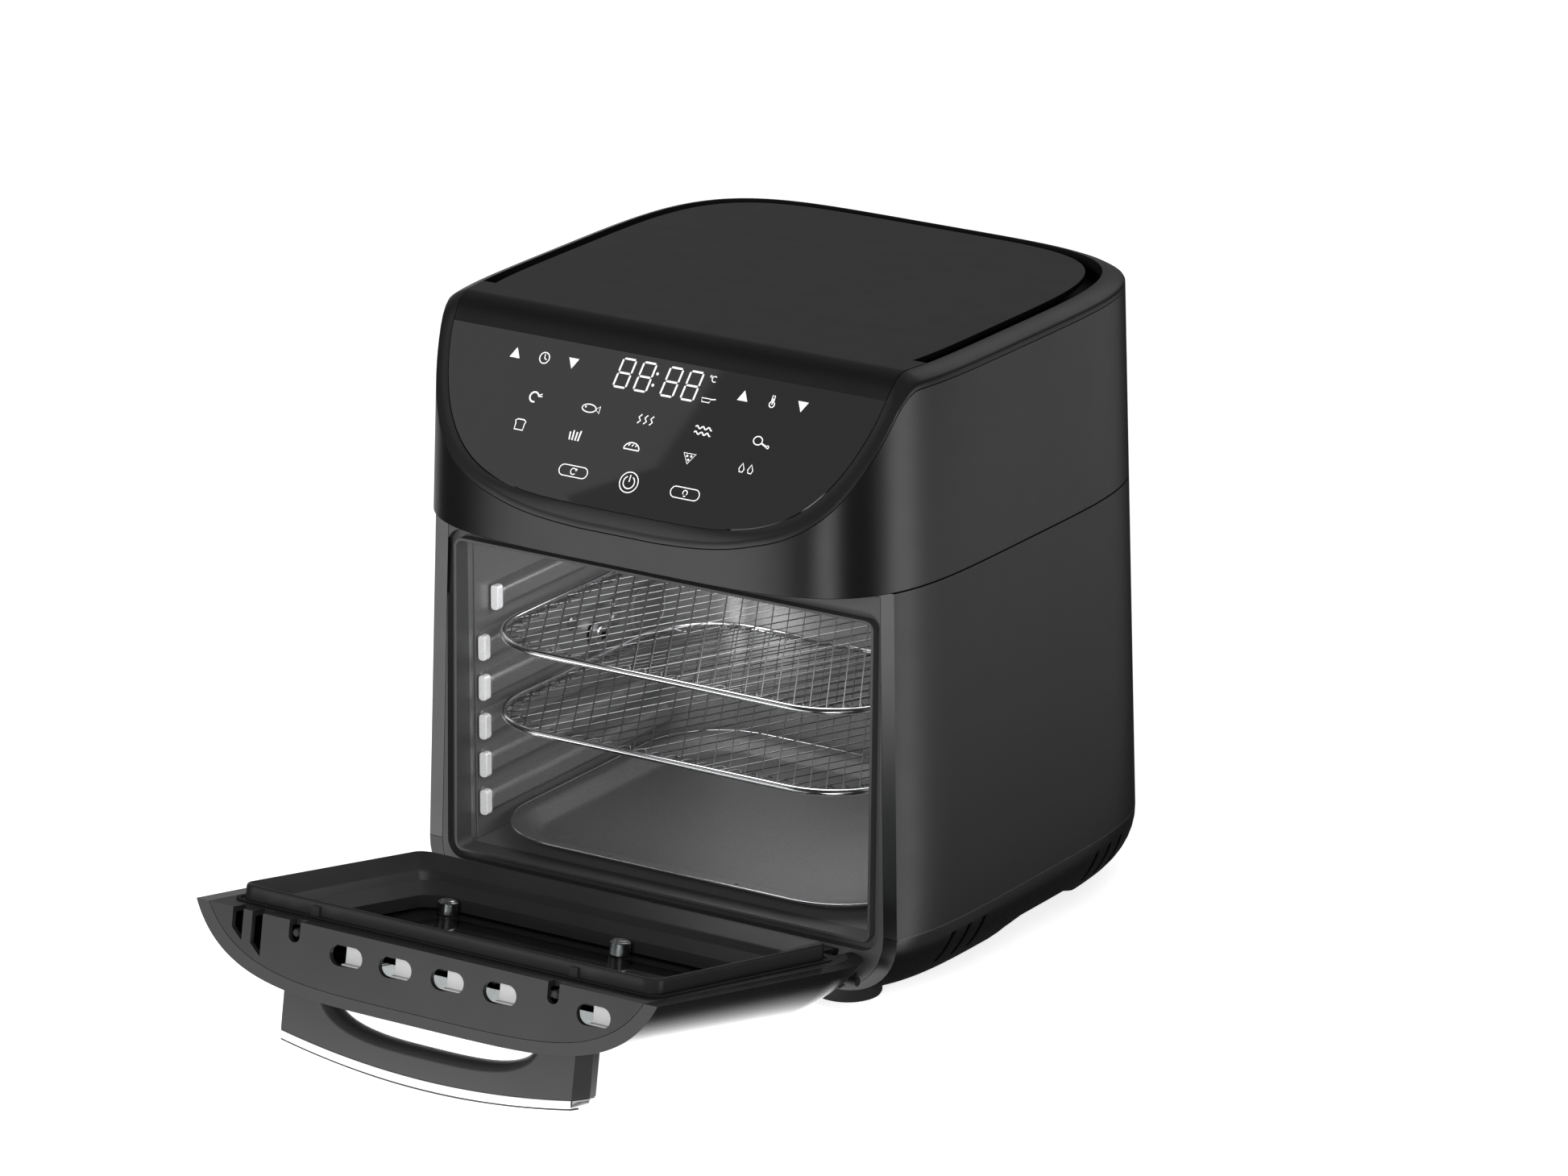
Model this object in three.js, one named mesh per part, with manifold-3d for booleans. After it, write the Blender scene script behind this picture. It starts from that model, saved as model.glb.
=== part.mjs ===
// Countertop air-fryer oven, door open in its rest position.
// Millimetres, +Z up, front toward -Y, X = 0 on the plane of symmetry, standing on Z = 0.
// Everything is drawn round the middle of the body; PLACE then moves the origin under the
// middle of the whole part with its door open.
import * as THREE from 'three';
import { mergeVertices } from 'three/addons/utils/BufferGeometryUtils.js';
import Module from 'manifold-3d';

const wasm = await Module();
wasm.setup();

// ---------------------------------------------------------------- driving dimensions
const PLACE = [0, 85.37, 2];
const GAP = 0.3;              // clearance between neighbouring pieces
const BASE_Z = 7;             // underside of the base pan
const SEAM_Z = 40;            // base pan to lower housing
const SPLIT_Z = 223.7;        // lower housing to upper housing
const RIM_SEAM_Z = 326.6;     // upper housing to bezel at the sides and rear
const RIM_Z = 334.3;          // top of the bezel and the cover
const HALF_WIDTH = 150;       // body half width at SPLIT_Z
const HALF_FRONT = 154.4;     // centre to front of the bulge at SPLIT_Z
const HALF_REAR = 155.3;      // centre to rear at SPLIT_Z
const DRAFT = 0.0264;         // outward lean of the walls toward the base
const FRONT_POWERS = [4.27, 4.61];
const REAR_POWERS = [4.77, 4.24];
const OUTLINE_STEPS = 64;
const WALL = 2.6;

const PANEL_SLOPE = 1.62;     // rise over run of the tilted control face
const PANEL_REF = [-139.9, 270.7];
const PANEL_TOP_Y = -108.5;   // control glass ends where the fold begins
const FOLD = 12;              // softness of the fold between control face and top

const FRAME_STRIP = 8;        // housing edge left visible around the front frame
const OPEN_HALF = 127.3;      // cavity mouth
const OPEN_Z = [36.9, 205.2];
const MOUTH_DEPTH_Y = -104.8; // inner end of the mouth
const CAVITY_REAR_Y = 112;
const CAVITY_TOP_Z = 216;
const CAVITY_FLOOR_Z = 36.4;
const SHEET = 0.9;            // liner sheet thickness

const HINGE_Y = -132.6;
const HINGE_Z = 20;
const HINGE_X = 118;
const DOOR_OPEN = 80 * Math.PI / 180;
const DOOR_TOP_Z = 220.4;
const DOOR_SKIN = 6;

const RACK_Z = [151.4, 107.8];
const RACK_HALF = 121.6;      // to the centre of the frame wire
const RACK_FRONT_Y = -113.2;
const RACK_REAR_Y = 92;
const RACK_CORNER = 46;
const WIRE = 1.75;
const RACK_TRAVEL = 160;
const TRAY_FRONT_Y = -108;

const FAN_Y = 4;
const DRIVE_Y = 8.8;
const DRIVE_Z = 119.5;

// ---------------------------------------------------------------- materials
const paint = (color, roughness, metalness) =>
  new THREE.MeshStandardMaterial({ color, roughness, metalness });
const SATIN_BLACK = paint(0x2b2b2c, 0.42, 0);
const DARK_SATIN = paint(0x3a3a3b, 0.45, 0);
const GLOSS_BLACK = paint(0x101011, 0.12, 0);
const RUBBER = paint(0x151515, 0.85, 0);
const COATED_STEEL = paint(0x4a4a4b, 0.45, 0.35);
const STEEL = paint(0xb4b4b2, 0.3, 0.9);
const CHROME = paint(0xdcdcdc, 0.12, 1);
const ALUMINIUM = paint(0xa8aaac, 0.4, 0.9);
const CLEAR_GLASS = paint(0x2a3032, 0.05, 0);
const PCB = paint(0x1f5a34, 0.6, 0);
const COPPER = paint(0x8a5a2c, 0.5, 0.5);

// ---------------------------------------------------------------- mesh helpers
const vec = (x, y, z) => new THREE.Vector3(x, y, z);

// Closed solid from a geometry, turned right side out whichever way its faces were wound.
function toSolid(geometry) {
  const bare = geometry.clone();
  bare.deleteAttribute('normal');
  bare.deleteAttribute('uv');
  const merged = mergeVertices(bare, 1e-4);
  const vertProperties = new Float32Array(merged.attributes.position.array);
  const triVerts = new Uint32Array(merged.index.array);
  const solid = new wasm.Manifold(new wasm.Mesh({ numProp: 3, vertProperties, triVerts }));
  if (solid.volume() > 0) return solid;
  return new wasm.Manifold(new wasm.Mesh({ numProp: 3, vertProperties, triVerts: triVerts.reverse() }));
}

function toGeometry(solid) {
  const mesh = solid.getMesh();
  const geometry = new THREE.BufferGeometry();
  geometry.setAttribute('position', new THREE.BufferAttribute(new Float32Array(mesh.vertProperties), 3));
  geometry.setIndex(new THREE.BufferAttribute(new Uint32Array(mesh.triVerts), 1));
  geometry.computeVertexNormals();
  return geometry;
}

function fromTriangles(points, triangles) {
  const geometry = new THREE.BufferGeometry();
  const flat = points.flatMap((p) => [p.x, p.y, p.z]);
  geometry.setAttribute('position', new THREE.Float32BufferAttribute(flat, 3));
  geometry.setIndex(triangles);
  return geometry;
}

// Skin between successive loops of equal length; each loop runs anticlockwise seen from the last.
function skin(loops, closed) {
  const n = loops[0].length;
  const triangles = [];
  const bands = closed ? loops.length : loops.length - 1;
  for (let band = 0; band < bands; band += 1) {
    const low = band * n;
    const high = ((band + 1) % loops.length) * n;
    for (let i = 0; i < n; i += 1) {
      const j = (i + 1) % n;
      triangles.push(low + i, low + j, high + j, low + i, high + j, high + i);
    }
  }
  return triangles;
}

function loft(loops) {
  const points = loops.flat();
  const n = loops[0].length;
  const triangles = skin(loops, false);
  const centre = (loop) => loop.reduce((sum, p) => sum.add(p), vec(0, 0, 0)).divideScalar(n);
  const bottom = points.length;
  points.push(centre(loops[0]), centre(loops[loops.length - 1]));
  const last = (loops.length - 1) * n;
  for (let i = 0; i < n; i += 1) {
    const j = (i + 1) % n;
    triangles.push(bottom, j, i, bottom + 1, last + i, last + j);
  }
  return toSolid(fromTriangles(points, triangles));
}

const ringLoft = (loops) => toSolid(fromTriangles(loops.flat(), skin(loops, true)));

function extruded(points, depth, holes = []) {
  const shape = new THREE.Shape(points.map(([u, v]) => new THREE.Vector2(u, v)));
  for (const hole of holes) {
    shape.holes.push(new THREE.Path(hole.map(([u, v]) => new THREE.Vector2(u, v))));
  }
  return new THREE.ExtrudeGeometry(shape, { depth, bevelEnabled: false, curveSegments: 8 });
}

function prismZ(points, z0, z1, holes) {
  return toSolid(extruded(points, z1 - z0, holes).translate(0, 0, z0));
}

function prismY(points, y0, y1, holes) {
  return toSolid(extruded(points, y1 - y0, holes).rotateX(Math.PI / 2).translate(0, y1, 0));
}

function prismX(points, x0, x1, holes) {
  const turn = new THREE.Matrix4().makeBasis(vec(0, 1, 0), vec(0, 0, 1), vec(1, 0, 0));
  return toSolid(extruded(points, x1 - x0, holes).applyMatrix4(turn).translate(x0, 0, 0));
}

function box(x, y, z) {
  const size = [x[1] - x[0], y[1] - y[0], z[1] - z[0]];
  const geometry = new THREE.BoxGeometry(...size);
  return toSolid(geometry.translate((x[0] + x[1]) / 2, (y[0] + y[1]) / 2, (z[0] + z[1]) / 2));
}

// Cylinder or cone between two points.
function rod(a, b, radius, radiusEnd = radius, sides = 20) {
  const axis = b.clone().sub(a);
  const geometry = new THREE.CylinderGeometry(radiusEnd, radius, axis.length(), sides);
  geometry.applyQuaternion(new THREE.Quaternion().setFromUnitVectors(vec(0, 1, 0), axis.normalize()));
  const middle = a.clone().add(b).divideScalar(2);
  return toSolid(geometry.translate(middle.x, middle.y, middle.z));
}

function lathe(profile, centre, sides = 40) {
  const geometry = new THREE.LatheGeometry(profile.map(([r, z]) => new THREE.Vector2(r, z)), sides);
  return toSolid(geometry.rotateX(Math.PI / 2).translate(centre.x, centre.y, centre.z));
}

function roundedRect(x0, y0, x1, y1, radius, steps = 4) {
  const corners = [[x1 - radius, y0 + radius, -90], [x1 - radius, y1 - radius, 0],
    [x0 + radius, y1 - radius, 90], [x0 + radius, y0 + radius, 180]];
  return corners.flatMap(([cx, cy, start]) => Array.from({ length: steps + 1 }, (_, i) => {
    const angle = (start + 90 * i / steps) * Math.PI / 180;
    return [cx + radius * Math.cos(angle), cy + radius * Math.sin(angle)];
  }));
}

// Round wire bent along a flat path at height z.
function closedWire(path, z, radius, sides = 8) {
  const loops = Array.from({ length: sides }, () => []);
  path.forEach(([x, y], i) => {
    const before = path[(i + path.length - 1) % path.length];
    const after = path[(i + 1) % path.length];
    const length = Math.hypot(after[0] - before[0], after[1] - before[1]);
    const out = [(after[1] - before[1]) / length, -(after[0] - before[0]) / length];
    for (let k = 0; k < sides; k += 1) {
      const angle = 2 * Math.PI * k / sides;
      const side = radius * Math.cos(angle);
      loops[k].push(vec(x + out[0] * side, y + out[1] * side, z + radius * Math.sin(angle)));
    }
  });
  return ringLoft(loops);
}

// Round wire along any open path, with flat ends.
function openWire(points, radius, sides = 8) {
  const curve = new THREE.CurvePath();
  for (let i = 1; i < points.length; i += 1) {
    curve.add(new THREE.LineCurve3(points[i - 1], points[i]));
  }
  const loops = [];
  let normal = null;
  points.forEach((p, i) => {
    const before = points[Math.max(0, i - 1)];
    const after = points[Math.min(points.length - 1, i + 1)];
    const tangent = after.clone().sub(before).normalize();
    normal = normal ?? vec(0, 0, 1).cross(tangent).normalize();
    if (normal.lengthSq() < 0.5) normal = vec(1, 0, 0);
    normal = normal.sub(tangent.clone().multiplyScalar(normal.dot(tangent))).normalize();
    const binormal = tangent.clone().cross(normal);
    loops.push(Array.from({ length: sides }, (_, k) => {
      const angle = 2 * Math.PI * k / sides;
      return p.clone().addScaledVector(normal, radius * Math.cos(angle))
        .addScaledVector(binormal, radius * Math.sin(angle));
    }));
  });
  return loft(loops);
}

const unite = (...parts) => parts.reduce((sum, part) => sum.add(part));
const cut = (body, ...tools) => tools.reduce((left, tool) => left.subtract(tool), body);
const mirrorX = (solid) => solid.mirror([1, 0, 0]);

// ---------------------------------------------------------------- body outline
const growth = (z) => DRAFT * (SPLIT_Z - z);
const flangeY = (z) => -117.3 + 0.0172 * (z - SEAM_Z);

// Rounding of the underside: how far the wall has curled inward at height z.
function curl(z, start, drop, reach) {
  const t = Math.min(1, Math.max(0, (start - z) / drop));
  return reach * (1 - Math.sqrt(1 - t * t));
}
const baseCurl = (z) => curl(z, SEAM_Z, SEAM_Z - BASE_Z + 0.2, 27);
const doorCurl = (z) => curl(z, 67, 60.2, 44);

function outlinePoint(t, width, front, rear) {
  const c = Math.cos(t);
  const s = Math.sin(t);
  const [p, q] = s < 0 ? FRONT_POWERS : REAR_POWERS;
  const depth = s < 0 ? front : rear;
  return [Math.sign(c) * width * Math.abs(c) ** (2 / p), Math.sign(s) * depth * Math.abs(s) ** (2 / q)];
}

const outlineAngles = Array.from({ length: OUTLINE_STEPS }, (_, i) => 2 * Math.PI * (i + 0.5) / OUTLINE_STEPS);

function bodyPoint(t, z, inset = 0) {
  const grow = growth(z) - baseCurl(z) - inset;
  return outlinePoint(t, HALF_WIDTH + grow, HALF_FRONT + grow, HALF_REAR + grow);
}

function bodyLoop(z, inset = 0) {
  return outlineAngles.map((t) => vec(...bodyPoint(t, z, inset), z));
}

function doorLoop(z, inset) {
  const side = growth(z) - baseCurl(z) - inset;
  const front = growth(z) - doorCurl(z) - inset;
  return outlineAngles.map((t) =>
    vec(...outlinePoint(t, HALF_WIDTH + side, HALF_FRONT + front, HALF_REAR + side), z));
}

const bodyLoft = (levels, inset) => loft(levels.map((z) => bodyLoop(z, inset)));
const doorLoft = (levels, inset) => loft(levels.map((z) => doorLoop(z, inset)));

// Half width of the body where the flange plane meets the wall.
function flangeHalfWidth(z, inset = 0) {
  const grow = growth(z) - baseCurl(z) - inset;
  const y = Math.abs(flangeY(z)) / (HALF_FRONT + grow);
  return (HALF_WIDTH + grow) * (1 - y ** FRONT_POWERS[1]) ** (1 / FRONT_POWERS[0]);
}

// Slab parallel to the flange plane, from offset a to offset b behind it.
function flangeSlab(a, b) {
  const low = -5;
  const high = 345;
  const points = [[flangeY(low) + a, low], [flangeY(low) + b, low],
    [flangeY(high) + b, high], [flangeY(high) + a, high]];
  return prismX(points, -200, 200);
}

// Front silhouette of the frame plate.
function frameOutline(inset, bottom, top) {
  const levels = [bottom, bottom + 2, bottom + 6, bottom + 12, SEAM_Z - 10, SEAM_Z, top];
  const right = levels.map((z) => [flangeHalfWidth(z, 0) - inset, z]);
  const left = right.map(([x, z]) => [-x, z]).reverse();
  return [...right, ...left];
}

// Smooth minimum used for the fold between the control face and the top.
function smoothMin(a, b, softness) {
  const h = Math.min(1, Math.max(0, 0.5 + 0.5 * (b - a) / softness));
  return b * (1 - h) + a * h - softness * h * (1 - h);
}

const faceZ = (y, proud) => PANEL_REF[1] + proud + PANEL_SLOPE * (y - PANEL_REF[0]);
const coverZ = (y) => smoothMin(faceZ(y, 0), RIM_Z, FOLD);

function seamZ(x, y) {
  const sag = Math.max(0, 3.9 * (1 - (x / 80) ** 2));
  return smoothMin(faceZ(y, -3.8), RIM_SEAM_Z, 13) - (y < 0 ? sag : 0);
}

function seamPoint(t, lift, inset) {
  let z = RIM_SEAM_Z;
  let point = bodyPoint(t, z);
  for (let i = 0; i < 30; i += 1) {
    z = 0.5 * z + 0.5 * seamZ(...point);
    point = bodyPoint(t, z);
  }
  const [x, y] = bodyPoint(t, z + lift, inset);
  return vec(x, y, z + lift);
}

// Inner edge of the bezel: follows the control glass at the front and the rim elsewhere.
function bezelEdge(t, extra) {
  let point = bodyPoint(t, RIM_Z, 10);
  for (let i = 0; i < 30; i += 1) {
    const z = coverZ(point[1]);
    const blend = THREE.MathUtils.smoothstep(point[1], -118, -85);
    const side = growth(z) - (7 + 3 * blend) - extra;
    const front = growth(z) - 2.1 - extra;
    const rear = growth(z) - 10 - extra;
    point = outlinePoint(t, HALF_WIDTH + side, HALF_FRONT + front, HALF_REAR + rear);
  }
  return point;
}

const coverSlab = (below, above) => {
  const steps = [-170, -153, -130, -112, -108, -104.5, -101, -97.5, -94, -90, 170];
  const top = steps.map((y) => [y, coverZ(y) + above]);
  const under = steps.map((y) => [y, coverZ(y) - below]).reverse();
  return prismX([...under.reverse(), ...top.reverse()], -170, 170);
};

// ---------------------------------------------------------------- housings
const BASE_LEVELS = [BASE_Z, 8, 10, 13, 18, 25, 33, SEAM_Z];
const frameWindow = prismY(frameOutline(FRAME_STRIP, 9, SPLIT_Z - 3), -130, -100);

function ventSlots() {
  const slots = [-84, -70, -56, 58, 72, 86].map((y) => {
    const points = [[y - 2, 19], [y + 1.8, 19], [y + 11, 34], [y + 7.2, 34]];
    return prismX(points, 135, 170);
  });
  return slots.flatMap((slot) => [slot, mirrorX(slot)]);
}

function basePan() {
  const arch = prismX([[-46, 0], [46, 0], [26, 14.5], [-24, 14.5]], -180, 180);
  const outer = cut(bodyLoft(BASE_LEVELS, 0), flangeSlab(-80, 0), arch);
  const roomLevels = [17.5, 18, 25, 33, SEAM_Z + 1];
  const room = cut(bodyLoft(roomLevels, 3), flangeSlab(-80, 3));
  return cut(outer, room, frameWindow, ...ventSlots());
}

function lowerHousing() {
  const outer = cut(bodyLoft([SEAM_Z + GAP, SPLIT_Z - GAP], 0), flangeSlab(-80, 0));
  const room = cut(bodyLoft([SEAM_Z - 1, SPLIT_Z + 1], WALL), flangeSlab(-80, 3));
  const inlet = rod(vec(96, 140, 72), vec(96, 175, 72), 9.3);
  return cut(outer, room, frameWindow, inlet);
}

function upperHousing() {
  const bottom = SPLIT_Z + GAP;
  const loops = [
    outlineAngles.map((t) => vec(...bodyPoint(t, bottom), bottom)),
    outlineAngles.map((t) => seamPoint(t, -GAP / 2, 0)),
    outlineAngles.map((t) => seamPoint(t, -GAP / 2, WALL)),
    outlineAngles.map((t) => vec(...bodyPoint(t, bottom, WALL), bottom)),
  ];
  const wall = ringLoft(loops);
  const ledge = bodyLoft([bottom, bottom + 2.6], 1).intersect(flangeSlab(-80, 6));
  const exhaust = Array.from({ length: 7 }, (_, i) =>
    box([-54 + 18 * i - 5, -54 + 18 * i + 5], [140, 175], [262, 286]));
  return cut(wall.add(ledge), ...exhaust);
}

function topBezel() {
  const edge = (drop, extra) => outlineAngles.map((t) => {
    const [x, y] = bezelEdge(t, extra);
    return vec(x, y, coverZ(y) - drop);
  });
  const loops = [
    outlineAngles.map((t) => seamPoint(t, GAP / 2, 0)),
    outlineAngles.map((t) => seamPoint(t, 2.8, 0.3)),
    edge(0.3, 0),
    edge(6, 0),
    outlineAngles.map((t) => seamPoint(t, GAP / 2, WALL)),
  ];
  return ringLoft(loops);
}

function topCover() {
  const wide = outlineAngles.map((t) => bezelEdge(t, GAP));
  const front = prismZ(wide, 290, 345).intersect(box([-170, 170], [PANEL_TOP_Y + GAP, -77], [290, 345]));
  const narrow = outlineAngles.map((t) => bodyPoint(t, RIM_Z, 17.5));
  const plate = prismZ(narrow, 290, 345).intersect(box([-170, 170], [-80, 170], [290, 345]));
  return front.add(plate).intersect(coverSlab(3, 0));
}

function controlGlass() {
  const edge = outlineAngles.map((t) => bezelEdge(t, GAP));
  const region = prismZ(edge, 230, 345).intersect(box([-170, 170], [-170, PANEL_TOP_Y], [230, 345]));
  return region.intersect(coverSlab(3.2, 0));
}

// Slotted deck below the gap round the cover; hot air leaves through it.
function ventDeck() {
  const deck = prismZ(outlineAngles.map((t) => bodyPoint(t, 320, 4.5)), 318.5, 320.5);
  const slots = [];
  for (const y of [-50, -10, 30, 70]) {
    slots.push(box([128, 138], [y, y + 22], [310, 325]), box([-138, -128], [y, y + 22], [310, 325]));
  }
  return cut(deck, box([-170, 170], [-170, -76], [310, 330]), ...slots);
}

function frontFrame() {
  const plate = prismY(frameOutline(FRAME_STRIP + GAP, 9.3, SPLIT_Z - 3.3), -130, -100)
    .intersect(flangeSlab(0, 3.6));
  const backing = prismY(roundedRect(-135.5, 30, 135.5, 212.5, 8), -130, -100).intersect(flangeSlab(3.4, 7));
  const mouthWall = prismY(roundedRect(-OPEN_HALF - 1.4, OPEN_Z[0] - 1.4, OPEN_HALF + 1.4, OPEN_Z[1] + 1.4, 5),
    -125, MOUTH_DEPTH_Y).intersect(flangeSlab(-0.4, 40));
  const mouth = prismY(roundedRect(-OPEN_HALF, OPEN_Z[0], OPEN_HALF, OPEN_Z[1], 4), -140, -90);
  const channel = prismY(
    roundedRect(-133.3, OPEN_Z[0] - 6.2, 133.3, OPEN_Z[1] + 6.2, 10), -130, -100,
    [roundedRect(-OPEN_HALF - 1.4, OPEN_Z[0] - 1.4, OPEN_HALF + 1.4, OPEN_Z[1] + 1.4, 5)],
  ).intersect(flangeSlab(-5, 5));
  return cut(cut(plate.add(backing), channel).add(mouthWall), mouth);
}

function rearExhaustCover() {
  const frame = roundedRect(-66, 257, 66, 291, 6);
  const plate = prismY(frame, 154.6, 158.6);
  const louvres = Array.from({ length: 7 }, (_, i) =>
    box([-54 + 18 * i - 5, -54 + 18 * i + 5], [150, 165], [261, 287]));
  return cut(plate, ...louvres);
}

function foot(x, y) {
  const profile = [[0, -2], [16.5, -2], [18, -0.5], [18, 6.7], [0, 6.7]];
  return lathe(profile, vec(x, y, 0), 28);
}

function cordInlet() {
  const collar = rod(vec(96, 158.6, 72), vec(96, 163, 72), 12);
  const bush = rod(vec(96, 150, 72), vec(96, 158.8, 72), 8.8);
  return cut(collar.add(bush), rod(vec(96, 140, 72), vec(96, 170, 72), 4.2));
}

// ---------------------------------------------------------------- cavity
function cavityLiner() {
  const rear = (inset) => {
    const x = OPEN_HALF + SHEET - inset;
    const y = CAVITY_REAR_Y + SHEET - inset;
    const points = [[-x, MOUTH_DEPTH_Y + GAP], [x, MOUTH_DEPTH_Y + GAP]];
    const radius = 33 - inset;
    for (let i = 0; i <= 6; i += 1) {
      const a = Math.PI / 2 * i / 6;
      points.push([x - radius + radius * Math.cos(a), y - radius + radius * Math.sin(a)]);
    }
    for (let i = 0; i <= 6; i += 1) {
      const a = Math.PI / 2 + Math.PI / 2 * i / 6;
      points.push([-x + radius + radius * Math.cos(a), y - radius + radius * Math.sin(a)]);
    }
    return points;
  };
  const outer = prismZ(rear(0), CAVITY_FLOOR_Z - SHEET, CAVITY_TOP_Z + SHEET);
  const room = prismZ(rear(SHEET), CAVITY_FLOOR_Z, CAVITY_TOP_Z)
    .add(box([-OPEN_HALF, OPEN_HALF], [-120, 0], [CAVITY_FLOOR_Z, CAVITY_TOP_Z]));
  const ductHole = rod(vec(0, FAN_Y, 200), vec(0, FAN_Y, 230), 92, 92, 40);
  const sideHole = box([-140, 140], [-82, 76], [CAVITY_FLOOR_Z + 12, CAVITY_TOP_Z - 12]);
  return cut(outer, room, ductHole, sideHole);
}

// Pressed side panel with six shelf ribs on its inner face (left panel; x grows into the cavity).
const RIB_Z = [166.5, 142, 120, 98.5, 77.5, 56.5];
function sidePanel() {
  const wallX = -OPEN_HALF + GAP;
  const plate = box([wallX, wallX + SHEET], [-100, 78], [CAVITY_FLOOR_Z + GAP, CAVITY_TOP_Z - GAP]);
  const ribs = RIB_Z.map((z, i) => {
    const front = i === 0 ? -86 : -98;
    const rear = i === 2 ? -27 : 76;
    const crown = [[front + 3, z - 5], [rear - 3, z - 5], [rear - 3, z + 5], [front + 3, z + 5]];
    const root = [[front, z - 7.4], [rear, z - 7.4], [rear, z + 7.4], [front, z + 7.4]];
    const loop = (points, x) => points.map(([y, zz]) => vec(x, y, zz));
    return loft([loop(root, wallX + 0.2), loop(root, wallX + 2), loop(crown, wallX + 7)]);
  });
  const driveHole = rod(vec(-140, DRIVE_Y, DRIVE_Z), vec(-110, DRIVE_Y, DRIVE_Z), 6.5);
  const lampHole = prismX(roundedRect(45, 107, 75.7, 131, 9), -140, -110);
  return cut(unite(plate, ...ribs), driveHole, lampHole);
}

function heatingElement() {
  const points = [];
  const turns = 2;
  const steps = 44;
  const level = 225;
  points.push(vec(-52, FAN_Y - 8, 262), vec(-52, FAN_Y - 8, 236));
  for (let i = 0; i <= steps; i += 1) {
    const t = i / steps;
    const angle = Math.PI + 2 * Math.PI * turns * t;
    const radius = 54 + 30 * t;
    points.push(vec(radius * Math.cos(angle), FAN_Y + radius * Math.sin(angle), level));
  }
  points.push(vec(-84, FAN_Y + 10, 234), vec(-84, FAN_Y + 10, 262));
  return openWire(points, 3.2, 8);
}

function elementGuard() {
  const centre = vec(0, FAN_Y, 0);
  const ring = (radius) => lathe([[radius - 1.3, 216.8], [radius + 1.3, 216.8], [radius + 1.3, 219.2],
    [radius - 1.3, 219.2], [radius - 1.3, 216.8]], centre, 40);
  const rings = [20, 44, 68, 90].map(ring);
  const bars = [0, 60, 120].map((deg) => {
    const a = deg * Math.PI / 180;
    const end = vec(90 * Math.cos(a), 90 * Math.sin(a), 0);
    return rod(vec(-end.x, FAN_Y - end.y, 218), vec(end.x, FAN_Y + end.y, 218), 1.1, 1.1, 6);
  });
  return unite(...rings, ...bars);
}

function fanShroud() {
  const centre = vec(0, FAN_Y, 0);
  const bowl = lathe([[101, 217.2], [96.5, 217.2], [95, 218], [88, 254], [10, 256], [10, 257.2],
    [89.5, 255.4], [96.5, 219], [101, 218.6], [101, 217.2]], centre, 40);
  return cut(bowl, rod(vec(-52, FAN_Y - 8, 240), vec(-52, FAN_Y - 8, 270), 4.5),
    rod(vec(-84, FAN_Y + 10, 215), vec(-84, FAN_Y + 10, 270), 4.6));
}

function convectionFan() {
  const hub = rod(vec(0, FAN_Y, 239), vec(0, FAN_Y, 249), 14);
  const shaft = rod(vec(0, FAN_Y, 240), vec(0, FAN_Y, 262), 3, 3, 12);
  const back = rod(vec(0, FAN_Y, 246.5), vec(0, FAN_Y, 248), 42, 42, 32);
  const blades = Array.from({ length: 8 }, (_, i) => {
    const angle = i * Math.PI / 4;
    const blade = box([13, 62], [-0.7, 0.7], [238, 248]).rotate([0, 0, 0]);
    return blade.rotate([0, 0, angle * 180 / Math.PI]).translate([0, FAN_Y, 0]);
  });
  return unite(hub, shaft, back, ...blades);
}

function fanMotor() {
  const can = lathe([[0, 264], [31, 264], [33, 266], [33, 292], [31, 294], [0, 294]], vec(0, FAN_Y, 0), 28);
  return cut(can, rod(vec(0, FAN_Y, 255), vec(0, FAN_Y, 270), 3.4, 3.4, 12));
}

function motorBracket() {
  const bar = box([-60, 60], [FAN_Y - 12, FAN_Y + 12], [260, 262.5]);
  const legs = [-1, 1].map((side) => box([side * 60 - 3, side * 60 + 3], [FAN_Y - 12, FAN_Y + 12], [257.6, 262.5]));
  return cut(unite(bar, ...legs), rod(vec(0, FAN_Y, 250), vec(0, FAN_Y, 270), 3.6, 3.6, 12),
    rod(vec(-52, FAN_Y - 8, 250), vec(-52, FAN_Y - 8, 270), 4.6));
}

function lampHousing() {
  const shell = box([-145.5, -128.9], [43, 78], [105, 133]);
  return cut(shell, box([-143.5, -125], [45, 76], [107, 131]));
}

function lampCover() {
  return prismX(roundedRect(45.3, 107.3, 75.4, 130.7, 8.7), -128.4, -124.6);
}

function lampBulb() {
  const socket = rod(vec(-142.9, 60.5, 119), vec(-138, 60.5, 119), 6, 6, 16);
  const globe = rod(vec(-138.2, 60.5, 119), vec(-131, 60.5, 119), 5.4, 3.2, 16);
  return socket.add(globe);
}

function rotisserieMotor() {
  const can = rod(vec(-145.6, DRIVE_Y, DRIVE_Z), vec(-130.4, DRIVE_Y, DRIVE_Z), 23, 23, 28);
  const ears = box([-131.8, -130.4], [DRIVE_Y - 28, DRIVE_Y + 28], [DRIVE_Z - 5, DRIVE_Z + 5]);
  return cut(can.add(ears), rod(vec(-140, DRIVE_Y, DRIVE_Z), vec(-120, DRIVE_Y, DRIVE_Z), 4.4));
}

function rotisserieSocket() {
  const stub = rod(vec(-138, DRIVE_Y, DRIVE_Z), vec(-119.5, DRIVE_Y, DRIVE_Z), 4, 4, 20);
  const collar = rod(vec(-125.6, DRIVE_Y, DRIVE_Z), vec(-119.5, DRIVE_Y, DRIVE_Z), 5.6, 5.6, 20);
  const square = box([-128, -115], [DRIVE_Y - 2.2, DRIVE_Y + 2.2], [DRIVE_Z - 2.2, DRIVE_Z + 2.2]);
  return cut(stub.add(collar), square);
}

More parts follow.
